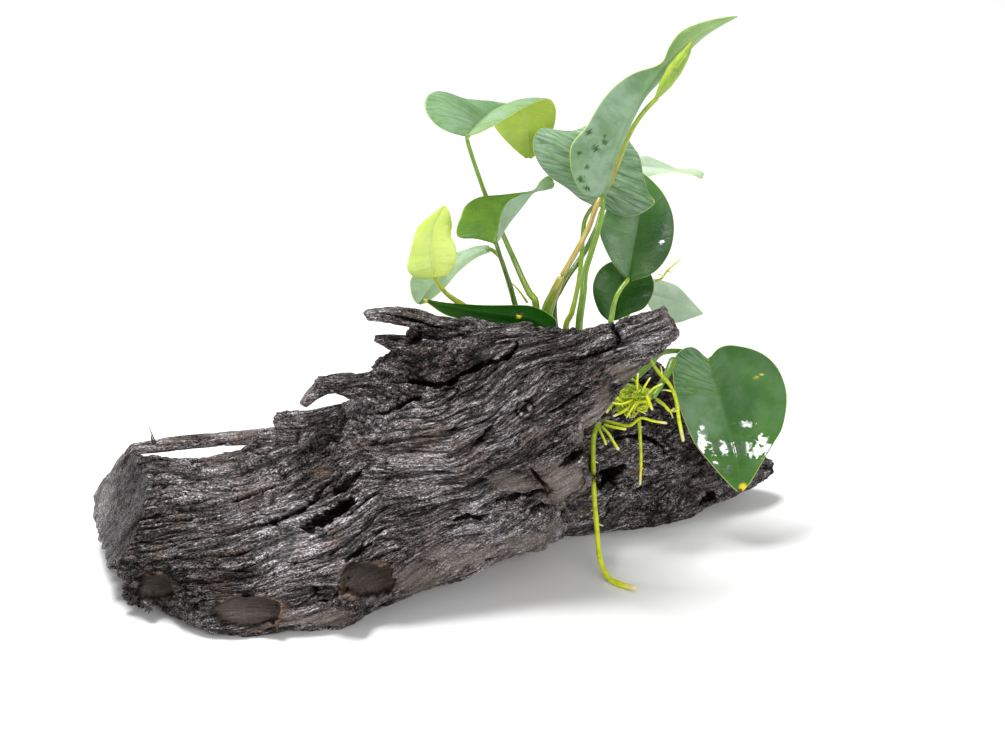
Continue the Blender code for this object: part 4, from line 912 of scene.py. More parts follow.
def weathered(obj):
    """Gives the fused wood its grain, ridges, cracks and knot, and stores what its material needs."""
    data = obj.data
    points, normals = mesh_arrays(data)
    columns, rows, camera_depth = in_view(points)
    depths = (points[:, 1] - FRAME_SHIFT.y) / MM
    along_map, across_map = grain_map()
    along = read_map(along_map, columns, rows) * PIXEL_MM
    across = read_map(across_map, columns, rows) * PIXEL_MM
    inward = camera_depth / MM
    thick = thickness_behind(obj, points, normals) / MM
    body = ramp(thick, 3, 13) * 0.88 + 0.12

    def waves(name):
        length, width, deep, shift = WAVES[name]
        return noise_field(np.stack([along / length, across / width, inward / deep], axis=1) + shift)

    lumps = noise_field((points - np.array(FRAME_SHIFT)) / (21 * MM) + (3.1, 7.7, 1.3))
    bend = noise_field(points / (16 * MM))
    across = across + 1.6 * bend
    broad = 1 - 2 * abs(waves("broad"))
    middle = waves("middle")
    valleys = valley(waves("valleys"), 0.34)
    creases = valley(waves("creases"), 0.4)
    fissures = valley(waves("fissures"), 0.12) * ramp(waves("fissured"), -0.05, 0.35)
    splits = valley(waves("splits"), 0.09) * ramp(waves("split"), -0.05, 0.35)
    crumple = noise_field(points / (2.1 * MM))
    crinkle = valley(waves("crinkle"), 0.4)
    ragged = noise_field(points / (3.1 * MM) + 9.1)
    drift = noise_field(points / (9 * MM) + 2.7)
    bare = patch_mask(BARE_PATCHES, columns + 9 * drift + 3 * ragged, rows + 6 * drift + 2 * crumple,
                      depths, 0.6)
    wrinkled = patch_mask(WRINKLED, columns, rows, depths) * (depths < 0)
    crack = 1.3 * fissures + 1.9 * splits
    rough = 1 - 0.72 * bare
    height = (1.2 * lumps + 1.15 * (broad - 0.45)
              + rough * (0.55 * middle - 0.95 * valleys - 0.6 * creases + 0.15 * waves("threads") - crack)
              + 0.16 * crumple + wrinkled * (0.25 * crumple - 0.6 * crinkle) + 0.1 * ragged)
    knot, rings = knot_shape(columns, rows, normals)
    height += knot
    deep = carved(columns, rows, depths, ragged)
    height = height * body - deep * np.minimum(body * 1.15, 1)
    scallops = 1 - 2 * abs(noise_field(points / (7.5 * MM) + 1.9))
    height += 1.5 * (scallops - 0.5) * ramp(-points[:, 0] / MM, 108, 120)
    points = points + normals * (height * MM)[:, None]
    points, flat, rim = flattened(points, ragged)
    points = broken_off(points, columns, rows, depths, ragged)
    points = behind_root(points)
    points = kept_in_box(points)
    points = keep_clear(points, [place(*p) for p in RHIZOME_PATH], RHIZOME_CLEARANCE)
    data.vertices.foreach_set("co", points.ravel())
    store(data, "grain", np.stack([along, across, inward], axis=1))
    # The relief, which darkens the valleys and creases with painted shade
    store(data, "relief", body * rough * (1 - flat) * (0.5 * middle - 0.9 * valleys - 0.5 * creases))
    # Painted shade in the carved cracks and hollows, and the knot's own dark rings
    store(data, "hollow_shade_and_knot_rings", (deep + crack * rough) * (1 - flat) + rings)
    store(data, "bare", bare)
    # Zones of painted light and painted shade
    store(data, "painted_light_and_shade", painted_light_and_shade_zones(columns, rows))
    store(data, "flat", flat)
    store(data, "rim", rim)
    store(data, "front", ramp(-normals[:, 1] * math.cos(VIEW_TILT) + normals[:, 2] * math.sin(VIEW_TILT),
                              -0.25, 0.25))
    data.update()


def longer_prong(points):
    """Draws the thin prong out to the left, as far as the front view shows it."""
    columns, rows, _ = in_view(points)
    root, tip = PRONG_COLUMNS
    limb = (columns < root) & (columns > tip - 6) & (rows > PRONG_ROWS[0]) & (rows < PRONG_ROWS[1])
    shift = (root - columns) / (root - tip) * PRONG_GROWTH * PIXEL * limb
    points[:, 0] -= shift
    points[:, 2] -= PRONG_SLOPE * shift
    return points


def behind_root(points):
    """Presses back what would hide the long root from the front."""
    line = spline(seen_path(ROOTS["root_long"][2]), 120)
    line_columns, line_rows, line_depths = in_view(line)
    columns, rows, depths = in_view(points)
    near = np.flatnonzero((columns > ROOT_COLUMNS[0]) & (columns < ROOT_COLUMNS[1])
                          & (rows > ROOT_ROWS[0]) & (rows < ROOT_ROWS[1]))
    nearest = np.argmin(abs(rows[near][:, None] - line_rows), axis=1)
    off = abs(columns[near] - line_columns[nearest])
    share = 1 - ramp(off, 3.5, 6.5)
    excess = np.maximum(line_depths[nearest] + ROOT_ROOM - depths[near], 0)
    excess[excess > 14 * MM] = 0
    points[near] += np.array(FORWARD) * (excess * share)[:, None]
    return points


def flattened(points, ragged):
    """Presses the points of each flat face onto a plane, and gives how flat and how near a rim each is."""
    columns, rows, camera_depth = in_view(points)
    depths = (points[:, 1] - FRAME_SHIFT.y) / MM
    waves = noise_field(points / (7 * MM) + 5.5)
    flat = np.zeros(len(points))
    rim = np.zeros(len(points))
    for column, row, width, height, strength, near, far in FLAT_FACES:
        side, drop = (columns - column) / width, (rows - row) / height
        off = (abs(side) ** 2.6 + abs(drop) ** 2.6) ** (1 / 2.6) + 0.15 * ragged + 0.2 * waves
        inside = (off < 1) & (depths > near) & (depths < far)
        if inside.sum() < 10:
            continue
        over = np.stack([columns - column, rows - row, np.ones(len(points))], axis=1)
        fit = np.linalg.lstsq(over[inside], camera_depth[inside], rcond=None)[0]
        limits = (depths > near) & (depths < far)
        share = (1 - ramp(off, 0.86, 1.0)) * limits
        fit[:2] *= FLAT_LEAN
        points = points + np.array(FORWARD) * ((over @ fit - 0.4 * MM - camera_depth) * share)[:, None]
        flat = np.maximum(flat, share * (1 if strength > FAINT_RIM else BLOCK_FLATNESS))
        rim = np.maximum(rim, np.exp(-((off - 1.0) / 0.12) ** 2) * limits * strength)
    return points, flat, rim


def sliced(obj, point, normal, slot):
    """Cuts off what lies on the side that the normal points to and closes the cut with material `slot`."""
    mesh = bmesh.new()
    mesh.from_mesh(obj.data)
    cut = bmesh.ops.bisect_plane(mesh, geom=mesh.verts[:] + mesh.edges[:] + mesh.faces[:], dist=1e-7,
                                 plane_co=point, plane_no=normal, clear_outer=True)
    edges = [g for g in cut["geom_cut"] if isinstance(g, bmesh.types.BMEdge)]
    filled = bmesh.ops.triangle_fill(mesh, use_beauty=True, use_dissolve=False, edges=edges, normal=normal)
    for face in filled["geom"]:
        if isinstance(face, bmesh.types.BMFace):
            face.material_index = slot
    for edge in edges:
        if edge.is_valid:
            edge.smooth = False
    mesh.to_mesh(obj.data)
    mesh.free()


def thinned(wood):
    """Fewer triangles, mostly on the sides that the front view doesn't see."""
    triangles = 2 * len(wood.data.polygons)
    if triangles <= WOOD_TRIANGLES:
        return wood
    front = np.empty(len(wood.data.vertices), dtype=np.float32)
    wood.data.attributes["front"].data.foreach_get("value", front)
    group = wood.vertex_groups.new(name="seen")
    for level in range(11):
        members = np.flatnonzero(np.round(front * 10) == level)
        if len(members):
            group.add(members.tolist(), level / 10, "REPLACE")
    thin = wood.modifiers.new("Thin", "DECIMATE")
    thin.ratio = WOOD_TRIANGLES / triangles
    thin.vertex_group = "seen"
    thin.invert_vertex_group = True
    thin.vertex_group_factor = 3.0
    return applied(wood)


def within_limit(piece):
    """Fewer triangles all over, where a piece has more than the limit for one piece."""
    triangles = sum(len(face.vertices) - 2 for face in piece.data.polygons)
    if triangles <= PIECE_TRIANGLES:
        return piece
    thin = piece.modifiers.new("Thin", "DECIMATE")
    thin.ratio = PIECE_TRIANGLES / triangles
    return applied(piece)


def make_wood():
    """The driftwood as one skin, thinned where the front view doesn't see it, then cut at its forks."""
    wood = fused("driftwood", wood_forms(), WOOD_VOXEL)
    weathered(wood)
    wood = thinned(wood)
    sliced(wood, SAW_POINT + FRAME_SHIFT, SAW_NORMAL, 1)
    points, _ = mesh_arrays(wood.data)
    wood.data.vertices.foreach_set("co", kept_in_box(longer_prong(points)).ravel())
    sliced(wood, Vector((0, 0, 0)), Vector((0, 0, -1)), 0)
    bark, sawn = wood_material(), sawn_material()
    horn = add_object("horn", wood.data.copy())
    rear = add_object("rear_limb", wood.data.copy())
    sliced(rear, REAR_SPLIT_POINT + FRAME_SHIFT, -REAR_SPLIT_NORMAL, 0)
    for piece, way in ((horn, -1), (wood, 1)):
        sliced(piece, REAR_SPLIT_POINT + FRAME_SHIFT, REAR_SPLIT_NORMAL, 0)
        sliced(piece, HORN_SPLIT_POINT + FRAME_SHIFT, way * HORN_SPLIT_NORMAL, 0)
    trunk, horn, rear = [within_limit(piece) for piece in (wood, horn, rear)]
    for piece, node in ((trunk, "driftwood_trunk"), (horn, "driftwood_horn"), (rear, "driftwood_rear_limb")):
        piece.name = node + "_skin"
        piece.data.materials.clear()
        piece.data.materials.append(bark)
        piece.data.materials.append(sawn)
        piece.data.shade_smooth()
        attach(piece, "root")
        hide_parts(node)
    return trunk


# How far red, green and blue light goes in leaves and stems, and in roots
LIGHT_REACH = (0.7, 1.0, 0.3)
ROOT_LIGHT_REACH = (1.0, 0.9, 0.3)


class Shader:
    """A short way to wire a procedural material."""

    def __init__(self, name):
        self.material = bpy.data.materials.new(name)
        self.material.use_nodes = True
        self.tree = self.material.node_tree
        self.shader = self.tree.nodes["Principled BSDF"]

    def node(self, kind, **settings):
        made = self.tree.nodes.new("ShaderNode" + kind)
        for key, value in settings.items():
            setattr(made, key, value)
        return made

    def link(self, output, target):
        self.tree.links.new(output, target)

    def feed(self, target, value):
        if hasattr(value, "is_output"):
            self.link(value, target)
        else:
            target.default_value = value

    def attribute(self, name, output="Fac"):
        return self.node("Attribute", attribute_name=name).outputs[output]

    def math(self, operation, a, b=0.0):
        made = self.node("Math", operation=operation)
        self.feed(made.inputs[0], a)
        self.feed(made.inputs[1], b)
        return made.outputs[0]

    def times(self, a, b):
        return self.math("MULTIPLY", a, b)

    def plus(self, a, b):
        return self.math("ADD", a, b)

    def map_range(self, value, low, high, to_low=0.0, to_high=1.0):
        made = self.node("MapRange", interpolation_type="SMOOTHSTEP")
        self.feed(made.inputs["Value"], value)
        for key, number in (("From Min", low), ("From Max", high), ("To Min", to_low), ("To Max", to_high)):
            made.inputs[key].default_value = number
        return made.outputs[0]

    def scaled(self, vector, scale):
        made = self.node("Mapping")
        self.link(vector, made.inputs["Vector"])
        made.inputs["Scale"].default_value = scale
        return made.outputs[0]

    def noise(self, vector, scale, detail=4.0, roughness=0.55, distortion=0.0):
        made = self.node("TexNoise")
        self.link(vector, made.inputs["Vector"])
        made.inputs["Scale"].default_value = scale
        made.inputs["Detail"].default_value = detail
        made.inputs["Roughness"].default_value = roughness
        made.inputs["Distortion"].default_value = distortion
        return made.outputs["Fac"]

    def weighted(self, *parts):
        """The sum of values, each times its weight."""
        total = 0.0
        for value, weight in parts:
            total = self.plus(self.times(value, weight), total)
        return total

    def mix(self, share, first, second):
        made = self.node("Mix", data_type="RGBA")
        self.feed(made.inputs[0], share)
        for socket, value in ((made.inputs[6], first), (made.inputs[7], second)):
            self.feed(socket, (*value, 1) if isinstance(value, tuple) else value)
        return made.outputs[2]

    def bump(self, height, distance, strength=1.0, before=None):
        made = self.node("Bump")
        self.link(height, made.inputs["Height"])
        made.inputs["Distance"].default_value = distance
        made.inputs["Strength"].default_value = strength
        if before:
            self.link(before, made.inputs["Normal"])
        return made.outputs[0]

    def set(self, **inputs):
        for key, value in inputs.items():
            socket = self.shader.inputs[key.replace("_", " ")]
            self.feed(socket, (*value, 1) if isinstance(value, tuple) else value)


def wood_material():
    """Wet dark wood: pale flecks that are painted glints, black painted shade in flecks, cracks and hollows,
    zones of painted light and shade, brown bare patches, flat faces with a brown rim.
    """
    s = Shader("wet_driftwood")
    grain = s.attribute("grain", "Vector")
    position = s.node("TexCoord").outputs["Object"]
    relief = s.attribute("relief")
    hollow_shade_and_knot_rings = s.attribute("hollow_shade_and_knot_rings")
    bare = s.attribute("bare")
    flat = s.attribute("flat")
    streaks = s.noise(s.scaled(grain, (0.035, 0.42, 0.34)), 1.0, 4, 0.6)
    ribs = s.noise(s.scaled(grain, (0.13, 1.25, 1.05)), 1.0, 3, 0.6, 0.3)
    flecks = s.noise(s.scaled(grain, (1.0, 3.6, 3.0)), 1.0, 3, 0.65, 0.4)
    threads = s.noise(s.scaled(grain, (1.9, 8.5, 7.0)), 1.0, 2, 0.6)
    lines = s.noise(s.scaled(grain, (0.022, 0.27, 0.2)), 1.0, 3, 0.55, 0.3)
    zones = s.noise(position, 28, 3, 0.5)
    clouds = s.noise(position, 60, 4, 0.6)
    grit = s.noise(position, 1100, 4, 0.7)
    # Flecks from painted shade through the wood's own browns to painted glints
    shade_to_glint_flecks = s.weighted((flecks, 0.42), (threads, 0.22), (ribs, 0.22), (streaks, 0.14))
    shade_to_glint_flecks = s.plus(shade_to_glint_flecks, s.map_range(zones, 0.35, 0.65, -0.022, 0.022))
    # The zones of painted light and painted shade lift and lower the flecks.
    shade_to_glint_flecks = s.plus(shade_to_glint_flecks, s.times(s.attribute("painted_light_and_shade"), 0.022))
    # Thin black crack lines: painted shade of cracks too fine for the mesh to carve.
    cracks = s.math("ABSOLUTE", s.math("SUBTRACT", lines, 0.5))
    cracks = s.map_range(cracks, 0.005, 0.018, 1.0, 0.0)
    cracks = s.times(cracks, s.map_range(clouds, 0.38, 0.50))
    smooth = s.math("MAXIMUM", bare, flat)
    # The darkest flecks are painted shade in fine crevices, the middle ones the wood's own dark brown.
    low = s.mix(s.map_range(shade_to_glint_flecks, 0.435, 0.49), (0.006, 0.005, 0.005), (0.062, 0.050, 0.047))
    base = s.mix(s.map_range(shade_to_glint_flecks, 0.485, 0.54), low, (0.170, 0.142, 0.140))
    # The pale bluish flecks are painted highlights: glints of the wet wood painted into the colour.
    base = s.mix(s.map_range(shade_to_glint_flecks, 0.545, 0.59), base, (0.860, 0.830, 0.890))
    base = s.mix(s.map_range(clouds, 0.50, 0.72, 0, 0.6), base, (0.125, 0.080, 0.058))
    # The bare wood's bands also take the zones of painted light and painted shade.
    bands = s.weighted((streaks, 0.75), (threads, 0.25), (s.attribute("painted_light_and_shade"), 0.12))
    plain = s.mix(s.map_range(bands, 0.38, 0.62), (0.080, 0.062, 0.050), (0.205, 0.170, 0.146))
    plain = s.mix(s.map_range(flat, 0.5, 1.0, 0, 0.7), plain, (0.450, 0.375, 0.330))
    colour = s.mix(s.times(smooth, 0.7), base, plain)
    # Painted shade: near black in the valleys and creases of the relief.
    colour = s.mix(s.map_range(relief, -0.8, -0.2, 0.8, 0.0), colour, (0.006, 0.005, 0.005))
    # Painted shade along the thin crack lines.
    colour = s.mix(s.times(cracks, s.map_range(smooth, 0.2, 0.8, 0.95, 0.2)), colour,
                   (0.003, 0.002, 0.002))
    # Painted shade: near black in the carved cracks and hollows, with the knot's own dark rings.
    colour = s.mix(s.map_range(hollow_shade_and_knot_rings, 0.3, 1.8, 0.0, 0.92), colour, (0.003, 0.002, 0.002))
    colour = s.mix(s.times(s.attribute("rim"), s.map_range(clouds, 0.45, 0.62, 0.0, 0.9)), colour,
                   (0.360, 0.205, 0.110))
    rough = s.plus(s.map_range(grit, 0.35, 0.65, 0.24, 0.5), s.times(smooth, 0.3))
    gloss = s.times(s.map_range(shade_to_glint_flecks, 0.44, 0.58, 0.0, 0.7),
                   s.map_range(hollow_shade_and_knot_rings, 0.3, 1.2, 1.0, 0.0))
    normal = s.bump(streaks, 0.0026, 0.8)
    normal = s.bump(ribs, 0.0012, 0.7, normal)
    normal = s.bump(flecks, 0.0005, 0.8, normal)
    normal = s.bump(grit, 0.0004, 0.6, normal)
    s.set(Base_Color=colour, Roughness=rough, Normal=normal, Specular_IOR_Level=gloss)
    return s.material


def sawn_material():
    """The dull grey face that a saw left."""
    s = Shader("sawn_driftwood")
    position = s.node("TexCoord").outputs["Object"]
    grit = s.noise(position, 1100, 6, 0.7)
    clouds = s.noise(position, 110, 3, 0.5)
    marks = s.noise(s.scaled(position, (1, 1, 9)), 130, 3, 0.5)
    colour = s.mix(s.map_range(grit, 0.3, 0.7), (0.225, 0.190, 0.165), (0.360, 0.310, 0.278))
    colour = s.mix(s.map_range(clouds, 0.45, 0.7, 0, 0.3), colour, (0.200, 0.172, 0.152))
    colour = s.mix(s.map_range(marks, 0.5, 0.7, 0, 0.15), colour, (0.360, 0.322, 0.295))
    s.set(Base_Color=colour, Roughness=0.8, Normal=s.bump(grit, 0.0006, 0.7), Specular_IOR_Level=0.2)
    return s.material


def sampled(line, share):
    """Points at shares of the way along an array of even points."""
    spot = np.clip(share, 0, 1) * (len(line) - 1)
    return np.stack([np.interp(spot, np.arange(len(line)), line[:, k]) for k in range(3)], axis=1)


def unit(vectors):
    """Vectors of length one."""
    return vectors / np.maximum(np.linalg.norm(vectors, axis=-1, keepdims=True), 1e-12)


def kept_in_box(points):
    """The points, kept inside the CAD model's box."""
    return np.clip(points, np.array(cad_box[0]) + EDGE_ROOM, np.array(cad_box[1]) - EDGE_ROOM)


def joined_mesh(name, points, faces, attributes):
    """A smooth piece inside the CAD model's box, with what its material needs stored on its points."""
    obj = mesh_object(name, kept_in_box(points), faces)
    for key, values in attributes.items():
        store(obj.data, key, np.asarray(values))
    faced_outward(obj)
    obj.data.shade_smooth()
    return obj


def dressed(obj, finish, nodes):
    """Gives a piece its material and body, and hides the CAD nodes that it stands for."""
    obj.data.materials.append(finish)
    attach(obj, "root")
    if nodes:
        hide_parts(*nodes)


def on_leaf(table, name):
    """The rows of a table that belong to a leaf, without its name."""
    return [row[1:] for row in table if row[0] == name]


def blade_grid(leaf):
    """The grid of a blade from the midrib out to both margins, its widths and its shares along and out."""
    left, middle, right = (spline(seen_path(leaf[side]), 300) for side in ("left", "mid", "right"))
    share = BLADE_END * (1 - (1 - np.linspace(0, 1, BLADE_ROWS)) ** 1.15)
    out = np.linspace(-1, 1, BLADE_COLUMNS)
    rib = sampled(middle, share ** MIDRIB_EASE)
    ahead = sampled(middle, share ** MIDRIB_EASE + 0.05) - rib
    ahead[-1] = ahead[-2]
    reach = {-1: sampled(left, share) - rib, 1: sampled(right, share) - rib}
    faces_out = {side: unit(np.cross(ahead, reach[side])) * -side for side in (-1, 1)}
    grid = np.empty((BLADE_ROWS, BLADE_COLUMNS, 3))
    width = np.empty((BLADE_ROWS, BLADE_COLUMNS))
    for k, o in enumerate(out):
        side = -1 if o < 0 else 1
        spread = abs(o)
        length = np.linalg.norm(reach[side], axis=1, keepdims=True)
        curve = BLADE_CURVE * 4 * spread * (1 - spread)
        grid[:, k] = rib + reach[side] * spread + faces_out[side] * length * curve
        width[:, k] = length[:, 0]
    shares = np.repeat(share[:, None], BLADE_COLUMNS, axis=1)
    outs = np.repeat(out[None], BLADE_ROWS, axis=0)
    return grid, width, shares, outs


def blade_faces(keep):
    """Faces of both skins and of the walls between them where `keep` is true, and which points are used."""
    cell = keep[:-1, :-1] & keep[1:, :-1] & keep[:-1, 1:] & keep[1:, 1:]
    size = keep.size
    index = np.arange(size).reshape(keep.shape)
    corners = np.stack([index[:-1, :-1], index[:-1, 1:], index[1:, 1:], index[1:, :-1]], axis=-1)[cell]
    edges = {}
    for quad in corners.tolist():
        for a, b in zip(quad, quad[1:] + quad[:1]):
            if (b, a) in edges:
                del edges[(b, a)]
            else:
                edges[(a, b)] = True
    walls = [(b, a, a + size, b + size) for a, b in edges]
    faces = corners.tolist() + (corners[:, ::-1] + size).tolist() + walls
    used = np.zeros(2 * size, dtype=bool)
    for face in faces:
        used[list(face)] = True
    renumber = np.cumsum(used) - 1
    return [[int(renumber[i]) for i in face] for face in faces], used


def leaf_marks(name, look, seed, columns, rows):
    """Brown, yellow, starred, wet and folded places of a leaf, and where the stars leave its painted sheen
    clear.
    """
    brown, yellow, stars, wet = np.zeros((4, len(columns)))
    clear = np.ones(len(columns))
    for column, row, radius, kind in on_leaf(LEAF_SPOTS, name):
        near = 1 - ramp(off_centre(columns, rows, column, row), 0.5 * radius, 1.2 * radius)
        target = brown if kind == "brown" else yellow
        np.maximum(target, near, out=target)
    for column, row, radius in on_leaf(LEAF_STARS, name):
        turn = np.arctan2(rows - row, columns - column)
        point = radius * (0.68 + 0.32 * np.cos(5 * turn + column))
        star = 1 - ramp(off_centre(columns, rows, column, row), 0.6 * point, point)
        stars += star
        clear *= 1 - star
    film = noise_field(np.stack([columns / 3.2, rows / 3.2, 0 * rows], axis=1) + seed)
    for patch in on_leaf(WET_PATCHES, name):
        wet = np.maximum(wet, 1 - ramp(off_centre(columns, rows, *patch) + 0.65 * film, 0.4, 1.1))
    folds = np.full(len(columns), look["folds"])
    if "folds_at" in look:
        folds *= 1 - ramp(off_centre(columns, rows, *look["folds_at"]), 0.5, 1.0)
    return brown, yellow, stars, clear, wet, folds


def make_blade(name, leaf, look, seed, finish):
    """A leaf blade with an upper and a lower skin, its veins, groove, keel, holes and marks."""
    grid, width, shares, outs = blade_grid(leaf)
    shape = width.shape
    normals = unit(np.cross(np.gradient(grid, axis=0), -np.gradient(grid, axis=1)))
    off_rib = abs(outs) * width / MM
    edge = (1 - abs(outs)) * width / MM
    flat = grid.reshape(-1, 3)
    jitter = noise_field(flat / (9 * MM) + seed).reshape(shape)
    phase = shares * look["veins"] + 0.35 * jitter + 0.22 * np.sign(outs)
    swell = np.minimum(off_rib / 4, 1) * np.clip(edge / 3, 0, 1) * (1 - shares ** 4)
    ripple = look["ripple"] * swell * (np.cos(2 * math.pi * phase) + 0.5 * np.cos(4 * math.pi * phase + 1))
    wave = 0.25 * jitter * np.clip(abs(outs), 0, 1)
    groove = -0.32 * look["groove"] * np.exp(-(off_rib / 0.75) ** 2) * (1 - shares) ** 0.6
    upward = normals * look["upper"]
    surface = grid + upward * ((ripple + wave + groove) * MM)[..., None]
    half = (0.13 + 0.12 * np.clip(edge / 1.5, 0, 1)) * MM
    keel = (0.75 * np.exp(-(off_rib / 0.8) ** 2) * (1 - shares) ** 0.8) * MM
    upper = surface + upward * half[..., None]
    lower = surface - upward * (half + keel)[..., None]
    columns, rows, _ = in_view(surface.reshape(-1, 3))
    keep = np.ones(len(columns), dtype=bool)
    for column, row, radius in on_leaf(LEAF_HOLES, name):
        keep &= off_centre(columns, rows, column, row) > radius
    faces, used = blade_faces(keep.reshape(shape))
    points = np.concatenate([upper.reshape(-1, 3), lower.reshape(-1, 3)])[used]

    def both(values, below=None):
        """Values of the upper and the lower skin, for the points that are used."""
        below = values if below is None else below
        return np.concatenate([v.reshape(keep.size, -1) for v in (values, below)])[used].squeeze()

    tip = ramp(shares, *look["tip_from"])
    brown, yellow, stars, clear, wet, folds = leaf_marks(name, look, seed, columns, rows)
    # grey is a painted sheen: a reflection of the bright room painted into the leaf's colour.
    grey = np.where(outs < 0, look["grey"][0], look["grey"][1]) * (1 - tip) + look["grey"][2] * tip
    grey = grey * clear.reshape(shape)
    tone = np.where(outs < 0, look["left"], look["right"]) * (1 - tip) + look["tip"] * tip
    tone = tone - 0.12 * stars.reshape(shape)
    lift = 0.06 * noise_field(flat / (14 * MM) + 4.4).reshape(shape)
    attributes = {
        "vein": both(phase),
        "pale": both(np.full(shape, look["pale"])),
        "folds": both(folds),
        "dull": both(np.full(shape, look["dull"])),
        "wet": both(wet, np.zeros(shape)),
        "off_rib": both(off_rib),
        "edge": both(np.minimum(edge, 1 + (1 - shares / BLADE_END) * 60)),
        "tone": both(tone + lift, look["under"] + lift),
        "grey": both(grey, grey * look["under_grey"]),
        "spoiled": both(brown),
        "yellowed": both(yellow),
        "cross": both(np.stack([shares * 60, outs * width / MM, jitter], axis=-1)),
    }
    dressed(joined_mesh(name + "_blade", points, faces, attributes), finish, [name])


def tube_arrays(path, radii, around=12, rings=40, wobble=0.0, seed=0.0, blunt=1.0):
    """Points, faces and measures of a tube with rounded ends along a path."""
    line = spline(path, rings)
    share = np.linspace(0, 1, rings)
    radius = np.interp(share, np.linspace(0, 1, len(radii)), radii) * MM
    spots = np.stack([share * rings / 6, share * 0 + seed, share * 0], axis=1)
    radius = radius * (1 + wobble * noise_field(spots))
    ahead = unit(np.gradient(line, axis=0))
    side = np.cross(ahead[0], TUBE_SIDE)
    sides = []
    for k in range(rings):
        side = side - ahead[k] * (side @ ahead[k])
        side = side / np.linalg.norm(side)
        sides.append(side)
    sides = np.array(sides)
    overs = np.cross(ahead, sides)
    turns = [math.radians(angle) for angle in (80, 55, 28)]
    stops = ([(0, -1, turn) for turn in turns] + [(k, 0, 0) for k in range(rings)]
             + [(rings - 1, 1, turn) for turn in reversed(turns)])
    spots = [k for k, _, _ in stops]
    lines = [line[k] + way * ahead[k] * radius[k] * math.sin(turn) * blunt for k, way, turn in stops]
    sizes = [radius[k] * math.cos(turn) for k, _, turn in stops]
    angles = 2 * math.pi * np.arange(around) / around
    ring = (np.cos(angles)[None, :, None] * sides[spots][:, None]
            + np.sin(angles)[None, :, None] * overs[spots][:, None])
    points = np.array(lines)[:, None] + ring * np.array(sizes)[:, None, None]
    count = len(lines)
    length = np.linalg.norm(np.diff(line, axis=0), axis=1).sum() / MM
    shares = share[spots]
    run = np.stack([np.repeat(shares[:, None] * length, around, axis=1),
                    np.repeat(np.cos(angles)[None], count, axis=0),
                    np.repeat(np.sin(angles)[None], count, axis=0)], axis=-1)
    return points.reshape(-1, 3), ring_faces(count, around), run.reshape(-1, 3), np.repeat(shares, around)


def tube(path, radii, around, rings, tone=(0,), tan=(0,), **shape):
    """A tube of a piece: its shape, its tones and how tan it is along its way."""
    shape.update(path=path, radii=radii, around=around, rings=rings)
    return {"shape": shape, "tone": tone, "tan": tan}


def make_tubes(name, tubes, finish, slot, nodes):
    """One piece from several tubes."""
    points, faces, runs, tones, tans = [], [], [], [], []
    start = 0
    for each in tubes:
        p, f, run, share = tube_arrays(**each["shape"])
        points.append(p)
        faces += [[i + start for i in face] for face in f]
        start += len(p)
        runs.append(run)
        tones.append(np.interp(share, np.linspace(0, 1, len(each["tone"])), each["tone"]))
        if slot == "root":
            tans.append(ramp(share, each.get("tip_from", 0.82), 1.0) * each.get("pale", 1.0))
        else:
            tans.append(np.interp(share, np.linspace(0, 1, len(each["tan"])), each["tan"]))
    attributes = {"tone": np.concatenate(tones), "tan": np.concatenate(tans), "run": np.concatenate(runs)}
    dressed(joined_mesh(name, np.concatenate(points), faces, attributes), finish, nodes)


def make_stems(finish):
    """The leaf stalks, the flower's stalk and sheath, the young shoot and the rhizome."""
    stems = {}
    for name, leaf in LEAVES.items():
        path = seen_path([leaf["mid"][0]] + leaf["stalk"]) + [place(*leaf["foot"])]
        radii = [0.8] + STOUT_STALKS.get(name, STALK_RADII)
        stems[name.replace("leaf", "stalk")] = tube(path, radii, 16, 70, STALK_TONES.get(name, PLAIN_TONES),
                                                    wobble=0.06, seed=len(name))
    stems["flower_stalk"] = tube(seen_path(PEDUNCLE_PATH), [0.95, 1.0, 1.1], 16, 90,
                                 [0.75, 0.65, 0.6, 0.5, 0.5, 0.5], [0.0, 0.1, 0.3, 0.9, 1.0, 0.9, 0.8],
                                 wobble=0.08, seed=3.0)
    stems["flower_sheath"] = tube(seen_path(SHEATH_PATH) + [place(*SHEATH_FOOT)], SHEATH_RADII, 20, 50,
                                  [0.6, 0.5, 0.4, 0.35], [0.6, 0.05, 0.0, 0.0], wobble=0.08, seed=5.0)
    stems["young_shoot"] = tube(seen_path(SHOOT_PATH), SHOOT_RADII, 16, 40, [0.3, 0.35, 0.4],
                                wobble=0.1, seed=6.0)
    spots = np.linspace(0, 1, RHIZOME_RINGS)
    radii = np.interp(spots, np.linspace(0, 1, len(RHIZOME_RADII)), RHIZOME_RADII)
    radii = radii * (1 - 0.07 * (np.arange(RHIZOME_RINGS) % 5 == 0))
    stems["rhizome"] = tube([place(*p) for p in RHIZOME_PATH], radii, 32, 90, [0.45, 0.5, 0.65], [0.2, 0.1],
                            wobble=0.05, seed=8.0)
    for name, stem in stems.items():
        make_tubes(name + "_skin", [stem], finish, "stalk", [name])


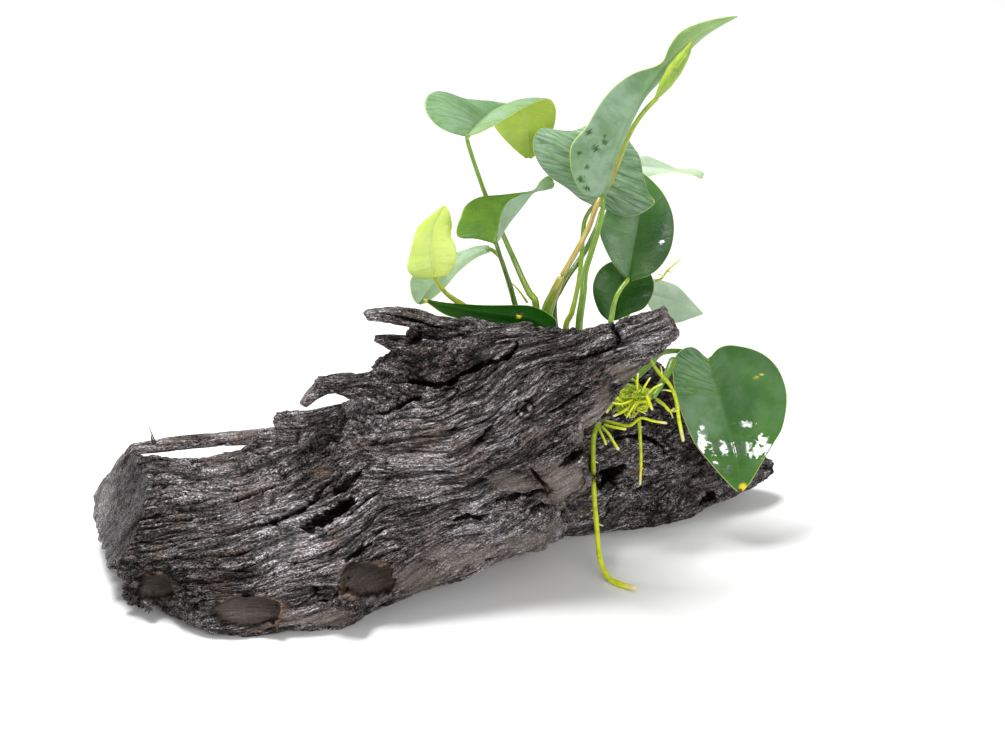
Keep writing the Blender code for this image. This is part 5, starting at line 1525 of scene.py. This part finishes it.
def make_bud(finish):
    """The closed flower bud: a pointed spathe with the seam where it overlaps."""
    path = seen_path(BUD_PATH)
    points, faces, run, share = tube_arrays(path, BUD_RADII, around=40, rings=80, blunt=0.6)
    turn = np.arctan2(run[:, 2], run[:, 1])
    columns, rows, _ = in_view(points)
    line = spline(path, 200)
    line_columns, line_rows, _ = in_view(line)
    nearest = np.argmin((columns[:, None] - line_columns) ** 2 + (rows[:, None] - line_rows) ** 2, axis=1)
    inward = unit(line[nearest] - points)
    offset = columns - line_columns[nearest] + 0.4 * (rows - line_rows[nearest])
    facing = inward[:, 1] > 0
    seam = np.exp(-((offset + 0.8) / 0.8) ** 2) * facing * np.clip(4 * share * (1 - share), 0, 1) ** 0.6
    points = points + inward * (0.3 * MM * seam)[:, None]
    # The seam's groove is darkened as painted shade; the tone also rises and falls twice around the bud.
    tone = 0.70 - 0.08 * seam + 0.08 * np.cos(turn * 2 + 1)
    attributes = {"tone": tone, "tan": ramp(share, 0.95, 1.0), "run": run}
    dressed(joined_mesh("flower_bud_skin", points, faces, attributes), finish, ["flower_bud"])


def make_roots(finish):
    """The roots with their rootlets, and the tangle."""
    for name, (start, end, path) in ROOTS.items():
        long = name == "root_long"
        radii = [0.94 * start, 0.47 * (start + end), 0.94 * end]
        tubes = [tube(seen_path(path), radii, 14, 90 if long else 40, (0.55, 0.95), wobble=0.16,
                      seed=float(len(name)))]
        tubes[0].update(tip_from=0.93 if long else 0.8, pale=0.3 if name in THIN_ROOTS else 0.8)
        for column, row, depth, to_column, to_row in ROOTLETS.get(name, []):
            middle = ((column + to_column) / 2, (row + to_row) / 2 - 0.3, depth - 0.4)
            line = seen_path([(column, row, depth), middle, (to_column, to_row, depth - 0.5)])
            tubes.append(tube(line, [0.42, 0.3, 0.16], 8, 8, (1.0, 1.0)))
            tubes[-1].update(tip_from=0.1)
        make_tubes(name + "_skin", tubes, finish, "root", [name])
    make_tangle(finish)


def make_tangle(finish):
    """The ball of short roots under the end of the rhizome, as strands that start at its heart."""
    random = np.random.default_rng(12)
    tubes = []
    column, row, depth = TANGLE_CENTRE
    for k in range(TANGLE_STRANDS):
        angle = random.uniform(0, 2 * math.pi)
        reach = random.uniform(0.35, 1.0)
        start = (column + random.uniform(-16, 16), row + random.uniform(-14, 8),
                 depth + random.uniform(-2, 3))
        end = (column + 23 * reach * math.cos(angle), row + 1 + 15 * reach * math.sin(angle),
               depth + random.uniform(-3.2, 1.5))
        middle = tuple((a + b) / 2 + random.uniform(-4, 4) * w for a, b, w in zip(start, end, (1, 1, 0.35)))
        width = random.uniform(0.22, 0.46)
        tones = (random.uniform(0.1, 0.7), random.uniform(0.5, 1.0))
        tubes.append(tube(seen_path([start, middle, end]), [width, width * 0.9, width * 0.6], 10, 18, tones,
                          wobble=0.15, seed=float(k)))
        tubes[-1].update(tip_from=0.9, pale=random.uniform(0.0, 0.7))
    for width, tones, path in TANGLE_SHOOTS:
        tubes.append(tube(seen_path(path), [width, width, width * 0.75], 12, 20, tones, wobble=0.12,
                          seed=width))
        tubes[-1].update(tip_from=0.8)
    make_tubes("root_tangle_strands", tubes, finish, "root", ["root_tangle"])


def make_fibres(finish, wood):
    """Hairs of wood that stand off the broken and sawn edges, each rooted in the nearest wood."""
    random = np.random.default_rng(31)
    tree = BVHTree.FromObject(wood, bpy.context.evaluated_depsgraph_get())
    tubes = []

    def add(start, end, width, around):
        spot, normal, _, away = tree.find_nearest(start)
        if spot is None or away > FIBRE_REACH:
            return
        base = spot - normal * 0.3 * MM
        path = [base, base + (end - start) * 0.5 + normal * 0.15 * MM, base + end - start]
        tubes.append(tube(path, [width, width * 0.75, width * 0.3], around, 6))

    for column, row, depth, to_column, to_row, width in FIBRES:
        add(seen(column, row, depth), seen(to_column, to_row, depth - 0.5), width, 6)
    for first, last, count, length, lean in FIBRE_EDGES:
        for _ in range(count):
            t = random.uniform(0, 1)
            column, row, depth = (a + (b - a) * t for a, b in zip(first, last))
            angle = math.radians(lean + random.uniform(-35, 35))
            reach = length * random.uniform(0.4, 1.0)
            width = random.uniform(0.1, 0.22)
            tip = (column + reach * math.cos(angle), row - reach * math.sin(angle), depth)
            add(seen(column, row, depth), seen(*tip), width, 5)
    make_tubes("driftwood_fibres", tubes, finish, "driftwood", [])


def leaf_material():
    """Leaf skin from deep to yellow green, with a painted grey sheen standing for reflections, veins, a light
    rim, spots and films of water.
    """
    s = Shader("anubias_leaf")
    tone = s.attribute("tone")
    grey = s.attribute("grey")
    wet = s.attribute("wet")
    cross = s.attribute("cross", "Vector")
    position = s.node("TexCoord").outputs["Object"]
    blotch = s.noise(position, 160, 4, 0.6)
    ripples = s.noise(position, 260, 3, 0.55, 0.6)
    speckle = s.noise(position, 1500, 3, 0.6)
    folds = s.attribute("folds")
    dull = s.attribute("dull")
    pale_green = (0.480, 0.600, 0.260)
    strands = s.noise(s.scaled(cross, (0.9, 0.10, 0.0)), 1.0, 4, 0.55, 1.2)
    mist = s.noise(position, 95, 4, 0.6)
    wave = s.math("COSINE", s.times(s.attribute("vein"), 2 * math.pi))
    veins = s.map_range(wave, 0.93, 1.0)
    rib = s.map_range(s.attribute("off_rib"), 0.3, 0.7, 1.0, 0.0)
    rim = s.map_range(s.attribute("edge"), 0.12, 0.34, 1.0, 0.0)
    clear = s.map_range(tone, 0.12, 0.4, 0.25, 1.0)
    deep = s.mix(s.map_range(tone, 0.0, 0.35), (0.006, 0.048, 0.002), (0.085, 0.240, 0.024))
    bright = s.mix(s.map_range(tone, 0.35, 0.7), deep, (0.400, 0.590, 0.050))
    bright = s.mix(s.map_range(tone, 0.7, 1.0), bright, (0.780, 0.840, 0.170))
    shades = s.noise(position, 62, 3, 0.55)
    shaded = s.mix(s.map_range(tone, 0.4, 0.9, 0.5, 0.15), bright, (0.004, 0.060, 0.002))
    cloudy = s.mix(s.map_range(blotch, 0.35, 0.7, 0.0, 0.5), bright, shaded)
    cloudy = s.mix(s.map_range(shades, 0.42, 0.62, 0.0, 0.55), cloudy, shaded)
    cloudy = s.mix(s.map_range(speckle, 0.62, 0.8, 0.0, 0.18), cloudy, (0.340, 0.450, 0.200))
    # Painted reflection: the grey sheen, patchy by mist and streaked where the leaf is folded.
    misty = s.map_range(mist, 0.35, 0.65, 0.45, 1.0)
    patchy = s.mix(folds, misty, s.map_range(strands, 0.36, 0.64, 0.1, 1.3))
    with_painted_sheen = s.mix(s.times(grey, patchy), cloudy, (0.370, 0.510, 0.385))
    # A whiter painted sheen where a leaf is pale.
    with_painted_sheen = s.mix(s.attribute("pale"), with_painted_sheen, (0.680, 0.740, 0.640))
    pale = s.mix(0.5, with_painted_sheen, pale_green)
    veined = s.mix(s.times(s.times(veins, 0.10), clear), with_painted_sheen, pale)
    ribbed = s.mix(s.times(s.times(rib, s.map_range(dull, 0.0, 0.5, 0.4, 0.12)), clear),
                   veined, pale)
    rimmed = s.mix(s.times(rim, s.map_range(tone, 0.0, 0.3, 0.35, 0.85)), ribbed,
                   (0.600, 0.700, 0.200))
    yellow = s.mix(s.attribute("yellowed"), rimmed, (0.760, 0.600, 0.050))
    final = s.mix(s.attribute("spoiled"), yellow, (0.110, 0.052, 0.016))
    normal = s.bump(s.times(strands, folds), 0.0016, 0.6)
    normal = s.bump(blotch, 0.0008, 0.5, normal)
    normal = s.bump(s.times(s.math("SUBTRACT", ripples, 0.5), wet), 0.0060, 1.0, normal)
    rough = s.plus(s.map_range(blotch, 0.3, 0.7, 0.2, 0.34), s.times(grey, 0.15))
    rough = s.times(rough, s.map_range(wet, 0.0, 1.0, 1.0, 0.4))
    shine = s.map_range(dull, 0.0, 1.0, 0.42, 0.0)
    coat = s.map_range(wet, 0.1, 0.8)
    s.set(Base_Color=final, Roughness=rough, Normal=normal, Subsurface_Weight=0.18, Subsurface_Scale=0.0012,
          Specular_IOR_Level=shine, Coat_Weight=coat, Coat_Roughness=0.11, Coat_IOR=2.1)
    s.shader.inputs["Subsurface Radius"].default_value = LIGHT_REACH
    return s.material


def stem_material():
    """Stalks, sheath, bud and rhizome: streaked green that turns tan."""
    s = Shader("anubias_stem")
    run = s.attribute("run", "Vector")
    tone = s.attribute("tone")
    position = s.node("TexCoord").outputs["Object"]
    streak = s.noise(s.scaled(run, (0.12, 3.0, 3.0)), 1.0, 4, 0.6)
    blotch = s.noise(position, 300, 4, 0.6)
    dark = s.mix(s.map_range(tone, 0.0, 0.5), (0.014, 0.060, 0.008), (0.150, 0.310, 0.020))
    green = s.mix(s.map_range(tone, 0.5, 1.0), dark, (0.560, 0.660, 0.040))
    striped = s.mix(s.map_range(streak, 0.4, 0.7, 0.0, 0.45), green, (0.420, 0.560, 0.090))
    mottled = s.mix(s.map_range(blotch, 0.45, 0.75, 0.0, 0.35), striped, (0.050, 0.120, 0.010))
    tan = s.mix(s.map_range(streak, 0.3, 0.7), (0.310, 0.220, 0.045), (0.620, 0.450, 0.110))
    final = s.mix(s.attribute("tan"), mottled, tan)
    normal = s.bump(streak, 0.0003, 0.6)
    s.set(Base_Color=final, Roughness=0.26, Normal=normal, Subsurface_Weight=0.15, Subsurface_Scale=0.0012,
          Coat_Weight=0.4, Coat_Roughness=0.1)
    s.shader.inputs["Subsurface Radius"].default_value = LIGHT_REACH
    return s.material


def root_material():
    """Yellow-green roots with pale tips."""
    s = Shader("anubias_root")
    run = s.attribute("run", "Vector")
    position = s.node("TexCoord").outputs["Object"]
    blotch = s.noise(position, 420, 4, 0.6)
    rings = s.noise(s.scaled(run, (1.1, 0.4, 0.4)), 1.0, 3, 0.5)
    tone = s.attribute("tone")
    green = s.mix(s.map_range(tone, 0.4, 1.0), (0.150, 0.250, 0.005), (0.840, 0.910, 0.016))
    mottled = s.mix(s.map_range(blotch, 0.4, 0.75, 0.0, 0.5), green, (0.200, 0.290, 0.010))
    ringed = s.mix(s.map_range(rings, 0.45, 0.75, 0.0, 0.4), mottled, (0.780, 0.800, 0.130))
    final = s.mix(s.attribute("tan"), ringed, (0.830, 0.720, 0.420))
    normal = s.bump(blotch, 0.0004, 0.5)
    s.set(Base_Color=final, Roughness=0.3, Normal=normal, Subsurface_Weight=0.2, Subsurface_Scale=0.0010,
          Specular_IOR_Level=0.3)
    s.shader.inputs["Subsurface Radius"].default_value = ROOT_LIGHT_REACH
    return s.material


def fibre_material():
    s = Shader("wood_fibre")
    position = s.node("TexCoord").outputs["Object"]
    grit = s.noise(position, 1200, 3, 0.6)
    s.set(Base_Color=s.mix(grit, (0.008, 0.007, 0.008), (0.050, 0.034, 0.026)), Roughness=0.6)
    return s.material


def make_stage():
    """A plain pale floor."""
    bpy.ops.mesh.primitive_plane_add(size=8, location=(0, 0, 0))
    floor = bpy.context.object
    floor.name = "floor"
    s = Shader("paper")
    s.set(Base_Color=(0.92, 0.92, 0.92), Roughness=0.7)
    floor.data.materials.append(s.material)


def add_light(name, position, target, size, power):
    lamp = bpy.data.lights.new(name, "AREA")
    lamp.shape = "RECTANGLE"
    lamp.size, lamp.size_y = size
    lamp.energy = power
    obj = add_object(name, lamp)
    obj.location = position
    obj.rotation_euler = (Vector(target) - Vector(position)).to_track_quat("-Z", "Y").to_euler()


def make_lights():
    world = bpy.data.worlds.new("studio")
    bpy.context.scene.world = world
    world.use_nodes = True
    background = world.node_tree.nodes["Background"]
    background.inputs["Color"].default_value = (1, 1, 1, 1)
    background.inputs["Strength"].default_value = WORLD_STRENGTH
    for light in SOFTBOXES:
        add_light(*light)
    bpy.context.scene.view_settings.view_transform = "Standard"


def make_camera():
    """The camera of the front view, looking down by the view's tilt."""
    camera = bpy.data.cameras.new("front_view")
    camera.sensor_width = SENSOR
    camera.lens = SENSOR * VIEW_DISTANCE / (VIEW_SIZE[0] * PIXEL)
    camera.clip_start = 0.01
    obj = add_object("front_view", camera)
    obj.location = VIEW_TARGET + FRAME_SHIFT - VIEW_DISTANCE * Vector(FORWARD)
    obj.rotation_euler = (math.radians(90) - VIEW_TILT, 0, 0)
    bpy.context.scene.camera = obj


def main():
    make_camera()
    make_stage()
    make_lights()
    trunk = make_wood()
    leaf = leaf_material()
    for k, (name, shape) in enumerate(LEAVES.items()):
        make_blade(name, shape, {**USUAL_LOOK, **LOOKS[name]}, k + 1.0, leaf)
    stem = stem_material()
    make_stems(stem)
    make_bud(stem)
    make_roots(root_material())
    make_fibres(fibre_material(), trunk)


main()
